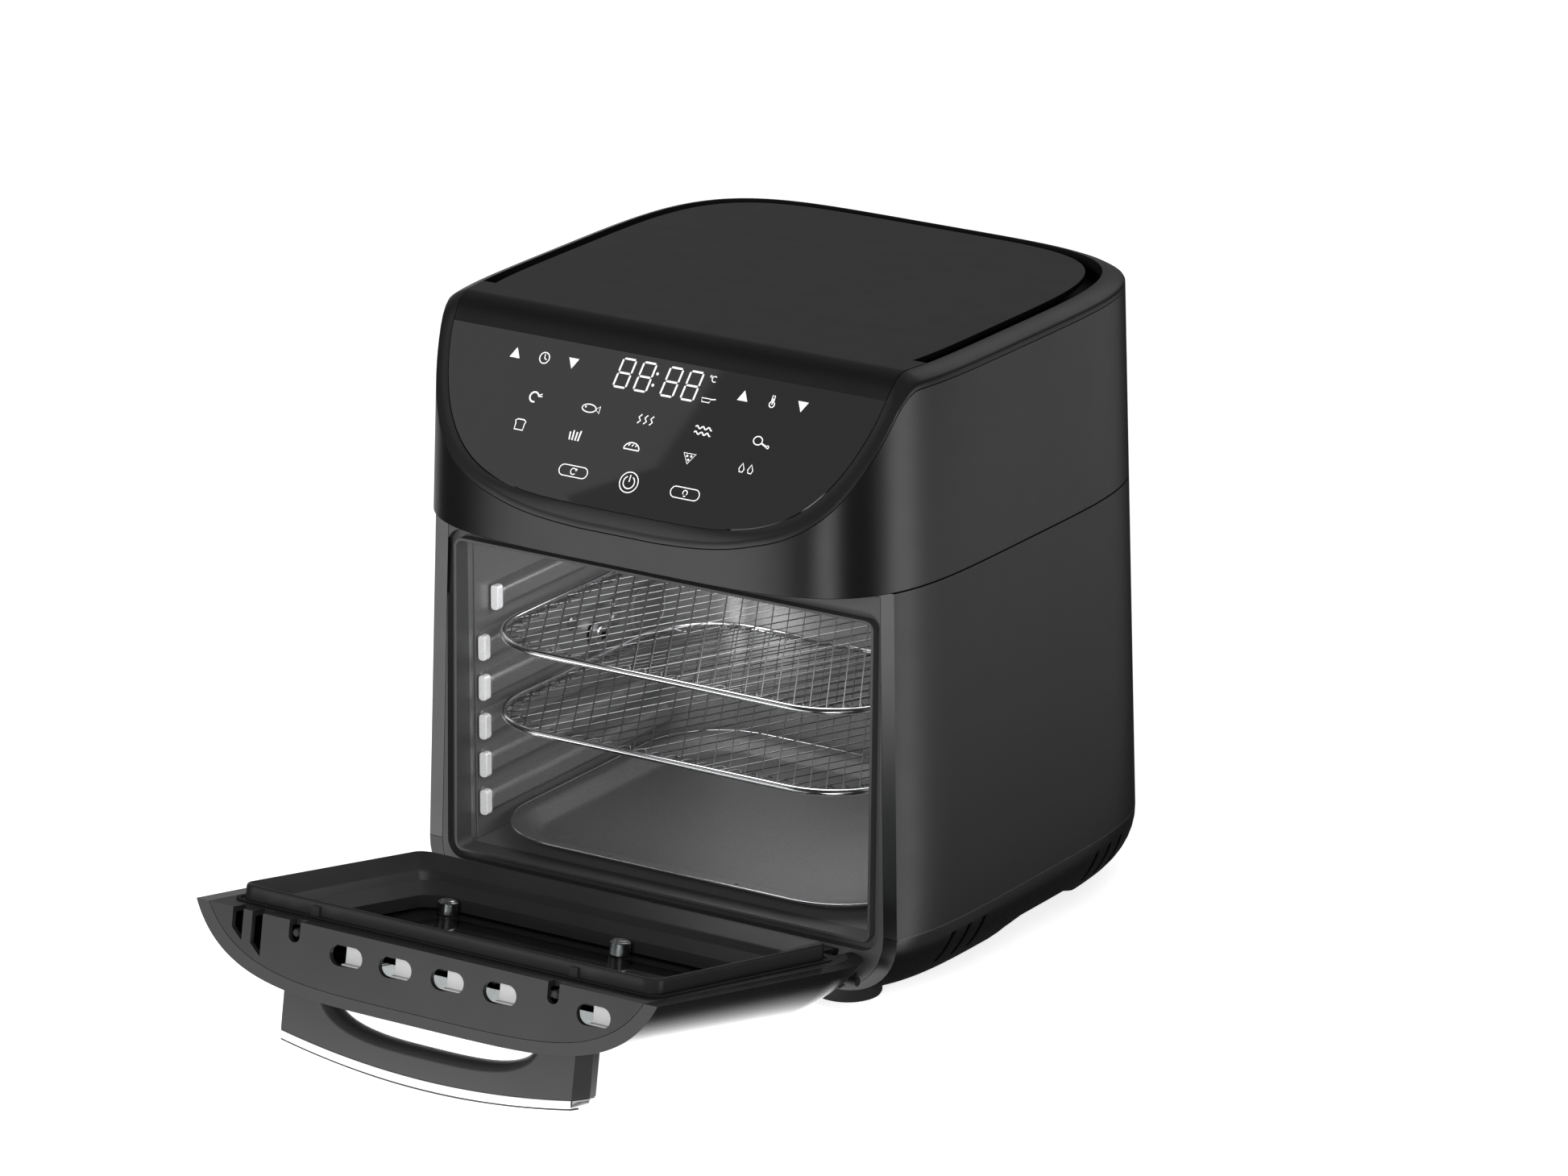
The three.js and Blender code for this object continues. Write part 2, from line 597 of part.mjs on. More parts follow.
function spitSupport() {
  const plate = box([123.2, 125.8], [DRIVE_Y - 12, DRIVE_Y + 12], [DRIVE_Z - 9, DRIVE_Z + 12]);
  const cradle = box([116.5, 124], [DRIVE_Y - 7, DRIVE_Y + 7], [DRIVE_Z - 8, DRIVE_Z + 2]);
  const groove = prismX([[DRIVE_Y - 3.2, DRIVE_Z - 2], [DRIVE_Y + 3.2, DRIVE_Z - 2],
    [DRIVE_Y + 5.5, DRIVE_Z + 6], [DRIVE_Y - 5.5, DRIVE_Z + 6]], 110, 123);
  return cut(plate.add(cradle), groove);
}

function screwHead(x, y, z, direction) {
  const start = vec(x, y, z);
  const end = vec(x + 2.2 * direction, y, z);
  const slot = box([x + 1.2 * direction - 0.9, x + 1.2 * direction + 2.4], [y - 0.5, y + 0.5], [z - 3, z + 3]);
  return cut(rod(start, end, 4, 3, 16), direction > 0 ? slot : mirrorX(slot).mirror([1, 0, 0]));
}

// ---------------------------------------------------------------- electronics
function controlBoard() {
  const lean = (offset) => [[-146, -118].map((y) => [y, faceZ(y, 0) - offset])].flat();
  const [low, high] = lean(13);
  const board = prismX([low, [low[0], low[1] - 2], [high[0], high[1] - 2], high].reverse(), -92, 92);
  const chip = prismX([[-134, faceZ(-134, 0) - 11.4], [-134, faceZ(-134, 0) - 14], [-126, faceZ(-126, 0) - 14],
    [-126, faceZ(-126, 0) - 11.4]].reverse(), -34, 34);
  return board.add(chip);
}

function powerBoard() {
  const board = box([-70, 70], [110, 112], [236, 300]);
  const blocks = [[-50, -24, 20], [-10, 14, 26], [34, 58, 16]].map(([x0, x1, depth]) =>
    box([x0, x1], [111, 112 + depth], [244, 284]));
  return unite(board, ...blocks);
}

// ---------------------------------------------------------------- racks and tray
function rackOutline(inset) {
  return roundedRect(-RACK_HALF + inset, RACK_FRONT_Y + inset, RACK_HALF - inset, RACK_REAR_Y - inset,
    RACK_CORNER - inset, 6);
}

function wireRack(z) {
  const frame = closedWire(rackOutline(0), z, WIRE);
  const columns = 9;
  const rows = 8;
  const bar = 1.6;
  const x0 = -RACK_HALF + 8;
  const y0 = RACK_FRONT_Y + 8;
  const stepX = (2 * RACK_HALF - 16 + bar) / columns;
  const stepY = (RACK_REAR_Y - RACK_FRONT_Y - 16 + bar) / rows;
  const clear = (x, y) => {
    const dx = Math.max(0, Math.abs(x) - (RACK_HALF - RACK_CORNER));
    const front = Math.max(0, RACK_FRONT_Y + RACK_CORNER - y);
    const back = Math.max(0, y - (RACK_REAR_Y - RACK_CORNER));
    return Math.hypot(dx, front + back) < RACK_CORNER - 4;
  };
  let mesh = prismZ(rackOutline(0.6), z - 0.7, z + 0.7);
  for (let i = 0; i < columns; i += 1) {
    for (let j = 0; j < rows; j += 1) {
      const x = [x0 + i * stepX, x0 + (i + 1) * stepX - bar];
      const y = [y0 + j * stepY, y0 + (j + 1) * stepY - bar];
      if (x.every((u) => y.every((v) => clear(u, v)))) mesh = mesh.subtract(box(x, y, [z - 2, z + 2]));
    }
  }
  return frame.add(mesh);
}

function dripTray() {
  const trayLoop = (inset, radius, z) => roundedRect(-123.2 + inset, TRAY_FRONT_Y + inset, 123.2 - inset,
    100 - inset, radius, 5).map(([x, y]) => vec(x, y, z));
  const bottom = CAVITY_FLOOR_Z + 0.7;
  const top = 45.4;
  const outer = loft([trayLoop(16, 32, bottom), trayLoop(15, 33, bottom + 0.4), trayLoop(8.5, 39, top - 1),
    trayLoop(0.5, 47, top - 1), trayLoop(0, 47.5, top - 0.4), trayLoop(0.5, 47, top)]);
  const room = loft([trayLoop(17, 31, bottom + 1), trayLoop(9, 38.5, top), trayLoop(9, 38.5, top + 4)]);
  return cut(outer, room);
}

// ---------------------------------------------------------------- door, modelled shut
const DOOR_BACK = -1.6;       // offset of the inner plate from the flange plane
const RIM_HALF = 126.3;       // raised rim that enters the cavity mouth
const RIM_SPAN = [41.7, 202.5];
const WINDOW_HALF = 104;
const WINDOW_SPAN = [63, 182];
const hingeSweep = () => rod(vec(-200, HINGE_Y, HINGE_Z), vec(200, HINGE_Y, HINGE_Z), 14.7, 14.7, 48);

// Keeps the material behind the hinge line inside the radius it sweeps when the door turns.
function hingeRelief() {
  const corner = box([-200, 200], [HINGE_Y, -100], [0, HINGE_Z]);
  return cut(corner, hingeSweep());
}

function hingeNotches() {
  return [-1, 1].map((side) => box(side < 0 ? [-HINGE_X - 4.5, -HINGE_X + 4.5] : [HINGE_X - 4.5, HINGE_X + 4.5],
    [-160, -100], [0, HINGE_Z + 11]));
}

const hingeBores = () => [-1, 1].map((side) => rod(vec(side * HINGE_X - 16, HINGE_Y, HINGE_Z),
  vec(side * HINGE_X + 16, HINGE_Y, HINGE_Z), 2.9, 2.9, 16));

const windowPrism = (grow) => prismY(roundedRect(-82 - grow, 92 - grow, 82 + grow, 186 + grow, 14), -180, -120);

function doorShell() {
  const levels = [BASE_Z + 1.5, 10, 14, 20, 28, 38, 50, 66, DOOR_TOP_Z];
  const outer = doorLoft(levels, 0).intersect(flangeSlab(-80, DOOR_BACK));
  const roomLevels = [16, 20, 28, 38, 50, 66, DOOR_TOP_Z + 1];
  const room = doorLoft(roomLevels, DOOR_SKIN);
  return cut(outer, room, windowPrism(0), ...hingeBores(), hingeRelief(), ...hingeNotches());
}

function outerGlass() {
  const levels = [60, 110, DOOR_TOP_Z - 12];
  const pane = cut(doorLoft(levels, 1.2), doorLoft([59, 110, DOOR_TOP_Z - 11], 4.6));
  return pane.intersect(windowPrism(-GAP)).intersect(flangeSlab(-80, -22));
}

// Rounded-rectangle loop lying across the door at depth y.
function depthLoop(half, low, high, radius, y, slope = 0) {
  return roundedRect(-half, low, half, high, radius, 4).map(([x, z]) => vec(x, y + slope * (z - SEAM_Z), z));
}

function innerFrame() {
  const skinGap = DOOR_SKIN + GAP;
  const levels = [16, 20, 28, 38, 50, 66, DOOR_TOP_Z];
  const core = doorLoft(levels, skinGap)
    .intersect(flangeSlab(-80, DOOR_BACK))
    .intersect(box([-160, 160], [-200, -90], [16.4, 230]));
  const plate = core.intersect(flangeSlab(DOOR_BACK - 3, DOOR_BACK + 1));
  const endPlate = core.intersect(box([-160, 160], [-170, -100], [DOOR_TOP_Z - 3, DOOR_TOP_Z + 1]));
  const slope = 0.0172;
  const at = (grow, radius, depth) => depthLoop(RIM_HALF - grow, RIM_SPAN[0] + grow, RIM_SPAN[1] - grow,
    radius, -117.3 + depth, slope);
  const funnel = ringLoft([at(0, 8, -3), at(0.6, 8, 6), at(1.2, 7.5, 6.8), at(2.4, 7, 6.8), at(14, 9, 0.6),
    at(21.5, 12, -9.5), at(21.5, 12, -15.6), at(24, 13, -15.6), at(24, 13, -9), at(16, 10, -3)].reverse());
  const bosses = [-1, 1].flatMap((side) => [-10, 10].map((shift) => {
    const x = side * HINGE_X + shift;
    return rod(vec(x - 4.5, HINGE_Y, HINGE_Z), vec(x + 4.5, HINGE_Y, HINGE_Z), 6.5, 6.5, 16)
      .add(box([x - 4.5, x + 4.5], [HINGE_Y - 4, flangeY(HINGE_Z) + DOOR_BACK - 1], [HINGE_Z - 2, HINGE_Z + 6]));
  }));
  const opening = prismY(roundedRect(-RIM_HALF + 15, RIM_SPAN[0] + 15, RIM_HALF - 15, RIM_SPAN[1] - 15, 9),
    -126, -100);
  const vents = [-45.7, -15.7, 15.9, 47.5, 103.4].map((x) =>
    prismZ(roundedRect(x - 10, -133.2, x + 10, -122.4, 5.3), 210, 230));
  const pinNotches = [-78, 78.8].map((x) => prismZ(roundedRect(x - 3.4, -126.6, x + 3.4, -108, 3.3), 214, 230));
  const catchSlots = [[-116.5, -110, -132], [-104.5, -98, -138]].map(([x0, x1, y]) =>
    prismZ([[x0, y + 6], [x1, y], [x1, -110], [x0, -110]], 210, 230));
  const frame = unite(cut(plate, opening), endPlate, funnel, unite(...bosses).intersect(core));
  return cut(frame, ...vents, ...pinNotches, ...catchSlots, ...hingeBores(), hingeRelief(), ...hingeNotches());
}

function doorGasket() {
  const loop = (half, low, high, radius, offset) =>
    depthLoop(half, low, high, radius, -117.3 + offset, 0.0172);
  return ringLoft([loop(129.8, 38.2, 206, 9, -1.3), loop(127.5, 40.4, 203.8, 8, -1.3),
    loop(127.5, 40.4, 203.8, 8, -0.6), loop(129.8, 38.2, 206, 9, -0.6)]);
}

const innerGlass = () => prismY(roundedRect(-WINDOW_HALF, WINDOW_SPAN[0], WINDOW_HALF, WINDOW_SPAN[1], 10),
  -136.6, -133.4);

const glassPost = (x) => rod(vec(x, -133.1, 73), vec(x, -125.3, 73), 5.5, 5.5, 20);

const HANDLE_Z = [196, 210];
const HANDLE_HALF = 93.5;
const HANDLE_FACET = 84;      // the front of the bar turns back here

// Front edge of the bar seen from above: a shallow bow with a facet at each end.
function barLine(centre, drop, facet) {
  const bow = Array.from({ length: 15 }, (_, i) => {
    const x = HANDLE_FACET * (i / 7 - 1);
    return [x, centre + drop * (x / HANDLE_FACET) ** 2];
  });
  const end = centre + drop + facet;
  return [[-HANDLE_HALF, end], ...bow, [HANDLE_HALF, end]];
}

// Finger opening: straight along the door, bowed along the grip.
function gripOpening() {
  const low = Array.from({ length: 25 }, (_, i) => {
    const t = Math.PI * i / 24;
    const x = -66 * Math.cos(t);
    return [x, -150 - 21 * (1 - Math.abs(x / 66) ** 3.2) ** 0.45];
  });
  return [[66, -130], [-66, -130], ...low];
}

function doorHandle() {
  const shape = [...barLine(-182.8, 7.6, 6), [HANDLE_HALF, -140], [-HANDLE_HALF, -140]];
  const blank = prismZ(shape, HANDLE_Z[0], HANDLE_Z[1]);
  return cut(blank, prismZ(gripOpening(), 190, 230), doorLoft([195, 222], -GAP));
}

// A strip along the front of the bar, a little thicker at its outer edge.
function handleTrim() {
  const back = barLine(-182.8 - GAP, 7.6, 6);
  const low = barLine(-185.4, 8, 6);
  const high = barLine(-187.7, 8, 6);
  return loft(back.map(([x, y], i) => [
    vec(x, y, HANDLE_Z[0]),
    vec(x, low[i][1], HANDLE_Z[0]),
    vec(x, high[i][1], HANDLE_Z[1]),
    vec(x, y, HANDLE_Z[1]),
  ]));
}

const handleScrew = (x) => rod(vec(x, -143.6, 203), vec(x, -139.5, 203), 4.2, 3, 14);

const hingePin = (side) => rod(vec(side * HINGE_X - 13.5, HINGE_Y, HINGE_Z),
  vec(side * HINGE_X + 13.5, HINGE_Y, HINGE_Z), 2.5, 2.5, 16);

function hingeBracket(side) {
  const x = [side * HINGE_X - 3, side * HINGE_X + 3];
  const arm = box(x, [HINGE_Y, flangeY(HINGE_Z) - GAP], [HINGE_Z - 5, HINGE_Z + 5]);
  const eye = rod(vec(x[0], HINGE_Y, HINGE_Z), vec(x[1], HINGE_Y, HINGE_Z), 5.4, 5.4, 20);
  return cut(arm.add(eye), rod(vec(x[0] - 1, HINGE_Y, HINGE_Z), vec(x[1] + 1, HINGE_Y, HINGE_Z), 2.9, 2.9, 16));
}

// ---------------------------------------------------------------- assembly
const group = new THREE.Group();
group.name = 'toaster_oven';

function add(name, solid, material) {
  const mesh = new THREE.Mesh(toGeometry(solid).translate(...PLACE), material);
  mesh.name = name;
  group.add(mesh);
}

const openDoor = new THREE.Matrix4().makeTranslation(0, HINGE_Y, HINGE_Z)
  .multiply(new THREE.Matrix4().makeRotationX(DOOR_OPEN))
  .multiply(new THREE.Matrix4().makeTranslation(0, -HINGE_Y, -HINGE_Z));

function addToDoor(name, solid, material) {
  const mesh = new THREE.Mesh(toGeometry(solid).applyMatrix4(openDoor).translate(...PLACE), material);
  mesh.name = name;
  group.add(mesh);
}

add('base_pan', basePan(), GLOSS_BLACK);
add('lower_housing', lowerHousing(), SATIN_BLACK);
add('upper_housing', upperHousing(), SATIN_BLACK);
add('top_bezel', topBezel(), SATIN_BLACK);
add('top_cover', topCover(), SATIN_BLACK);
add('vent_deck', ventDeck(), GLOSS_BLACK);
add('control_glass', controlGlass(), GLOSS_BLACK);
add('control_board', controlBoard(), PCB);
add('power_board', powerBoard(), PCB);
add('front_frame', frontFrame(), DARK_SATIN);
add('rear_exhaust_cover', rearExhaustCover(), SATIN_BLACK);
add('cord_inlet', cordInlet(), RUBBER);
[['foot_front_left', -103, -98], ['foot_front_right', 103, -98], ['foot_rear_left', -103, 98],
  ['foot_rear_right', 103, 98]].forEach(([name, x, y]) => add(name, foot(x, y), RUBBER));

add('cavity_liner', cavityLiner(), COATED_STEEL);
add('left_side_panel', sidePanel(), COATED_STEEL);
add('right_side_panel', mirrorX(sidePanel()), COATED_STEEL);
add('heating_element', heatingElement(), STEEL);
add('element_guard', elementGuard(), CHROME);
add('fan_shroud', fanShroud(), ALUMINIUM);
add('convection_fan', convectionFan(), ALUMINIUM);
add('motor_bracket', motorBracket(), STEEL);
add('fan_motor', fanMotor(), STEEL);
add('lamp_housing', lampHousing(), STEEL);
add('lamp_bulb', lampBulb(), CLEAR_GLASS);
add('lamp_cover', lampCover(), CLEAR_GLASS);
add('rotisserie_motor', rotisserieMotor(), STEEL);
add('rotisserie_socket', rotisserieSocket(), CHROME);
add('spit_support', spitSupport(), STEEL);

add('upper_rack', wireRack(RACK_Z[0]), CHROME);
add('lower_rack', wireRack(RACK_Z[1]), CHROME);
add('drip_tray', dripTray(), COATED_STEEL);

add('hinge_bracket_left', hingeBracket(-1), STEEL);
add('hinge_bracket_right', hingeBracket(1), STEEL);
addToDoor('door_shell', doorShell(), SATIN_BLACK);
addToDoor('door_inner_frame', innerFrame(), DARK_SATIN);
addToDoor('door_gasket', doorGasket(), RUBBER);
addToDoor('door_outer_glass', outerGlass(), CLEAR_GLASS);
addToDoor('door_inner_glass', innerGlass(), CLEAR_GLASS);
addToDoor('glass_post_left', glassPost(-86.5), STEEL);
addToDoor('glass_post_right', glassPost(20.8), STEEL);
addToDoor('door_handle', doorHandle(), SATIN_BLACK);
addToDoor('handle_trim', handleTrim(), CHROME);
addToDoor('handle_screw_left', handleScrew(-79), STEEL);
addToDoor('handle_screw_right', handleScrew(79), STEEL);
addToDoor('hinge_pin_left', hingePin(-1), STEEL);
addToDoor('hinge_pin_right', hingePin(1), STEEL);

export default group;
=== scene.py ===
import math

import bmesh
import bpy
from mathutils import Matrix, Vector


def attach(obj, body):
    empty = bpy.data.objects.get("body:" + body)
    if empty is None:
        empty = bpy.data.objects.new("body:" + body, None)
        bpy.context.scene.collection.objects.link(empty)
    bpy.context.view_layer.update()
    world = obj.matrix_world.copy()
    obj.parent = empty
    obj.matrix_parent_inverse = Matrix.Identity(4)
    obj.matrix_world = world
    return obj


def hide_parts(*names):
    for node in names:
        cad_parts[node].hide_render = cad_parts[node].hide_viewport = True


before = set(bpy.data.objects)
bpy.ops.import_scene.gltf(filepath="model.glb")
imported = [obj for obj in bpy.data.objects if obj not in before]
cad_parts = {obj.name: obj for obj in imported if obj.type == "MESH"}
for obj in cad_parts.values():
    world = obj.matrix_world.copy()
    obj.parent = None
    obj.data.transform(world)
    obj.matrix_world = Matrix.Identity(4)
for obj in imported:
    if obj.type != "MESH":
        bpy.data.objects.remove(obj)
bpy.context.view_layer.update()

# Lengths are in millimetres and become metres when a mesh is made. X runs across the oven, Y from front to
# rear and Z up, and the door is drawn shut. Tools that cut a shape reach past it by a round number.
MM = 0.001
GAP = 0.25

# Body: the heights of its seams, its half sizes at the upper seam and the curves of its plan.
BASE_Z = 7.0
SEAM_Z = 40.0
SPLIT_Z = 223.7
RIM_SEAM_Z = 326.6
RIM_Z = 334.3
HALF_WIDTH = 150.0
HALF_FRONT = 154.4
HALF_REAR = 155.3
DRAFT = 0.0264
FRONT_POWERS = (4.27, 4.61)
REAR_POWERS = (4.77, 4.24)
COLUMNS = 160
WALL = 2.6
FOOT_X = 103
FOOT_Y = 98
INLET = (96, 72)

# Control panel: a slope through one point, folded over into the flat top.
PANEL_SLOPE = 1.62
PANEL_Y = -139.9
PANEL_Z = 270.7
PANEL_TOP_Y = -108.5
FOLD = 12.0

# Mouth and cavity.
FLANGE_Y = -117.3
FLANGE_LEAN = 0.0172
FRAME_STRIP = 8.0
OPEN_HALF = 127.3
OPEN_Z = (36.9, 205.2)
MOUTH_DEPTH_Y = -104.8
CAVITY_REAR_Y = 112.0
CAVITY_TOP_Z = 216.0
CAVITY_FLOOR_Z = 36.4
SHEET_X = -OPEN_HALF + GAP
RIB_Z = (166.5, 142, 120, 98.5, 77.5, 56.5)
DRIVE_Y = 8.8
DRIVE_Z = 119.5

# Racks and tray.
RACK_Z = (151.4, 107.8)
RACK_HALF = 121.6
RACK_FRONT_Y = -113.2
RACK_REAR_Y = 92.0
RACK_CORNER = 46.0
RACK_ROD = 1.75
MESH_WIRE = 0.31
TRAY_HALF = 123.2
TRAY_FRONT_Y = -108.0
TRAY_REAR_Y = 100.0
TRAY_TOP_Z = 45.4

# Door, its hinge and its handle.
HINGE_Y = -132.6
HINGE_Z = 20.0
HINGE_X = 118.0
OPEN_ANGLE = math.radians(80)
DOOR_TOP_Z = 220.4
DOOR_BACK = -1.6
DOOR_SKIN = 6.0
RIM_HALF = 126.3
RIM_SPAN = (41.7, 202.5)
WINDOW = (82, 92, 186)
VENT_X = (-45.7, -15.7, 15.9, 47.5, 103.4)
CATCH_X = (-78, 78.8)
HANDLE_Z = (196.0, 210.0)
HANDLE_HALF = 93.5
BAR_FRONT_Y = -182.8
BAR_BOW = 9
BAR_CORNER = (5.0, 8.5)
GRIP_FLARE = 5.5

# Drawings are centred on the body, and the frame on the oven with its open door.
PLACE = Matrix.Translation((0, 0.08537, 0.002))
HINGE = Matrix.Translation((0, HINGE_Y * MM, HINGE_Z * MM))
OPEN_DOOR = HINGE @ Matrix.Rotation(OPEN_ANGLE, 4, "X") @ HINGE.inverted()
DOOR_AHEAD = Vector((0, -math.sin(OPEN_ANGLE), math.cos(OPEN_ANGLE)))


# ---------------------------------------------------------------- solids
def linked(name, data):
    """A new object of the scene that holds the given data."""
    obj = bpy.data.objects.new(name, data)
    bpy.context.scene.collection.objects.link(obj)
    return obj


def solid(points, faces):
    """Closed mesh from points in millimetres, with its faces turned outward."""
    mesh = bpy.data.meshes.new("work")
    mesh.from_pydata([[MM * c for c in p] for p in points], [], faces)
    work = bmesh.new()
    work.from_mesh(mesh)
    bmesh.ops.remove_doubles(work, verts=work.verts, dist=1e-7)
    bmesh.ops.recalc_face_normals(work, faces=work.faces)
    work.to_mesh(mesh)
    work.free()
    return linked("work", mesh)


def bands(loops, closed):
    """Faces between each loop and the next, and from the last back to the first if closed."""
    n = len(loops[0])
    faces = []
    for k in range(len(loops) if closed else len(loops) - 1):
        low = k * n
        high = (k + 1) % len(loops) * n
        faces += [(low + i, low + (i + 1) % n, high + (i + 1) % n, high + i) for i in range(n)]
    return faces


def loft(loops):
    n = len(loops[0])
    last = (len(loops) - 1) * n
    caps = [tuple(range(n))[::-1], tuple(range(last, last + n))]
    return solid([p for loop in loops for p in loop], bands(loops, False) + caps)


def ring(loops):
    return solid([p for loop in loops for p in loop], bands(loops, True))


def prism(points, axis, start, end):
    """An outline drawn across one axis and stretched along it."""
    turned = {"x": lambda u, v, w: (w, u, v),
              "y": lambda u, v, w: (u, w, v),
              "z": lambda u, v, w: (u, v, w)}[axis]
    return loft([[turned(u, v, w) for u, v in points] for w in (start, end)])


def box(x, y, z):
    return prism([(x[0], y[0]), (x[1], y[0]), (x[1], y[1]), (x[0], y[1])], "z", *z)


def rod(start, end, radius, end_radius=None, sides=32):
    return lathe([(0, radius), (1, radius if end_radius is None else end_radius)], start, end, sides, True)


def lathe(profile, start, end, sides=48, fraction=False):
    """Turned solid: profile pairs are (distance along the axis, radius)."""
    a = Vector(start)
    axis = Vector(end) - a
    length = axis.length if fraction else 1.0
    axis.normalize()
    side = axis.orthogonal().normalized()
    other = axis.cross(side)
    loops = []
    for along, radius in profile:
        centre = a + axis * along * length
        loops.append([centre + (side * math.cos(q) + other * math.sin(q)) * max(radius, 0.01)
                      for q in (2 * math.pi * i / sides for i in range(sides))])
    return loft(loops)


def bake(obj):
    """Turns the object's modifiers into its mesh."""
    graph = bpy.context.evaluated_depsgraph_get()
    mesh = bpy.data.meshes.new_from_object(obj.evaluated_get(graph))
    obj.modifiers.clear()
    obj.data = mesh
    return obj


def combine(obj, tools, operation):
    for tool in tools:
        modifier = obj.modifiers.new("combine", "BOOLEAN")
        modifier.operation = operation
        modifier.solver = "MANIFOLD"
        modifier.object = tool
    bake(obj)
    for tool in tools:
        bpy.data.objects.remove(tool)
    return obj


def cut(obj, *tools):
    return combine(obj, tools, "DIFFERENCE")


def unite(obj, *tools):
    return combine(obj, tools, "UNION")


def clip(obj, *tools):
    return combine(obj, tools, "INTERSECT")


def joined(objects):
    """One object holding separate closed meshes."""
    work = bmesh.new()
    for obj in objects:
        work.from_mesh(obj.data)
    mesh = bpy.data.meshes.new("work")
    work.to_mesh(mesh)
    work.free()
    for obj in objects:
        bpy.data.objects.remove(obj)
    return linked("work", mesh)


def mirrored(obj):
    """A copy on the other side of the oven's middle plane."""
    mesh = obj.data.copy()
    mesh.transform(Matrix.Scale(-1, 4, (1, 0, 0)))
    mesh.flip_normals()
    return linked("work", mesh)


def rounded_rect(x0, y0, x1, y1, radius, steps=8):
    points = []
    for cx, cy, start in ((x1 - radius, y0 + radius, -90), (x1 - radius, y1 - radius, 0),
                          (x0 + radius, y1 - radius, 90), (x0 + radius, y0 + radius, 180)):
        for i in range(steps + 1):
            q = math.radians(start + 90 * i / steps)
            points.append((cx + radius * math.cos(q), cy + radius * math.sin(q)))
    return points


def piece(obj, name, body, material, replaces=(), slot=None, bevel=0.0, segments=3, crease=32):
    """Names a finished mesh, rounds its edges and fixes it to a body of the frame.

    The slot argument is not used.
    """
    obj.name = name
    obj.data.name = name
    if bevel:
        modifier = obj.modifiers.new("edges", "BEVEL")
        modifier.width = bevel * MM
        modifier.segments = segments
        modifier.limit_method = "ANGLE"
        modifier.angle_limit = math.radians(30)
        bake(obj)
    obj.data.shade_smooth()
    obj.data.set_sharp_from_angle(angle=math.radians(crease))
    modifier = obj.modifiers.new("normals", "WEIGHTED_NORMAL")
    modifier.keep_sharp = True
    obj.data.materials.clear()
    obj.data.materials.append(material)
    obj.data.transform(PLACE @ OPEN_DOOR if body == "door" else PLACE)
    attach(obj, body)
    if replaces:
        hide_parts(*replaces)
    slot = slot or replaces[0]
    return obj


def second_finish(obj, material, direction):
    """Gives the faces that look one way a finish of their own."""
    obj.data.materials.append(material)
    for face in obj.data.polygons:
        if face.normal.dot(direction) > 0.97:
            face.material_index = 1


# ---------------------------------------------------------------- body shape
ANGLES = [2 * math.pi * (i + 0.5) / COLUMNS for i in range(COLUMNS)]


def growth(z):
    """How much wider the body is at a height than at its upper seam."""
    return DRAFT * (SPLIT_Z - z)


def flange_y(z):
    """Front face of the lower housing, which leans back slightly."""
    return FLANGE_Y + FLANGE_LEAN * (z - SEAM_Z)


def curl(z, start, drop, reach):
    """Elliptic tuck below a height: how far the side has drawn in at z."""
    t = min(1.0, max(0.0, (start - z) / drop))
    return reach * (1 - math.sqrt(1 - t * t))


def base_curl(z):
    return curl(z, SEAM_Z, SEAM_Z - BASE_Z + 0.2, 27)


def door_curl(z):
    return curl(z, 67, 60.2, 44)


def outline_point(t, width, front, rear):
    """Point of the body's plan, a superellipse with one curve in front and one behind."""
    c, s = math.cos(t), math.sin(t)
    p, q = FRONT_POWERS if s < 0 else REAR_POWERS
    depth = front if s < 0 else rear
    return (math.copysign(width * abs(c) ** (2 / p), c), math.copysign(depth * abs(s) ** (2 / q), s))


def body_point(t, z, inset=0.0):
    """Point of the body's side at an angle and a height, set in by a distance."""
    grow = growth(z) - base_curl(z) - inset
    return outline_point(t, HALF_WIDTH + grow, HALF_FRONT + grow, HALF_REAR + grow)


def body_plan(z, inset):
    return [body_point(t, z, inset) for t in ANGLES]


def body_loop(z, inset=0.0):
    return [(x, y, z) for x, y in body_plan(z, inset)]


def body_loft(levels, inset):
    return loft([body_loop(z, inset) for z in levels])


def door_loft(levels, inset):
    """The body's shape with the deeper tuck of the door at its front."""
    loops = []
    for z in levels:
        side = growth(z) - base_curl(z) - inset
        front = growth(z) - door_curl(z) - inset
        loops.append([(*outline_point(t, HALF_WIDTH + side, HALF_FRONT + front, HALF_REAR + side), z)
                      for t in ANGLES])
    return loft(loops)


def spread(low, high, count):
    return [low + (high - low) * i / (count - 1) for i in range(count)]


def flange_half_width(z):
    """Half the width of the body where the flange plane cuts it."""
    grow = growth(z) - base_curl(z)
    y = abs(flange_y(z)) / (HALF_FRONT + grow)
    return (HALF_WIDTH + grow) * (1 - y ** FRONT_POWERS[1]) ** (1 / FRONT_POWERS[0])


def flange_slab(a, b):
    """Everything between two planes parallel to the flange, a and b behind it."""
    low, high = -15.0, 345.0
    return prism([(flange_y(low) + a, low), (flange_y(low) + b, low),
                  (flange_y(high) + b, high), (flange_y(high) + a, high)], "x", -200, 200)


def frame_outline(inset, bottom, top):
    """Outline of the mouth's frame seen from the front."""
    levels = [bottom + i for i in (0, 0.7, 2, 4, 7, 11, 16)] + [SEAM_Z - 7, SEAM_Z, top]
    right = [(flange_half_width(z) - inset, z) for z in levels]
    return right + [(-x, z) for x, z in reversed(right)]


def smooth_min(a, b, softness):
    """The smaller of two heights, blended where they come near each other."""
    h = min(1.0, max(0.0, 0.5 + 0.5 * (b - a) / softness))
    return b * (1 - h) + a * h - softness * h * (1 - h)


def face_z(y, proud=0.0):
    """Height of the sloping panel."""
    return PANEL_Z + proud + PANEL_SLOPE * (y - PANEL_Y)


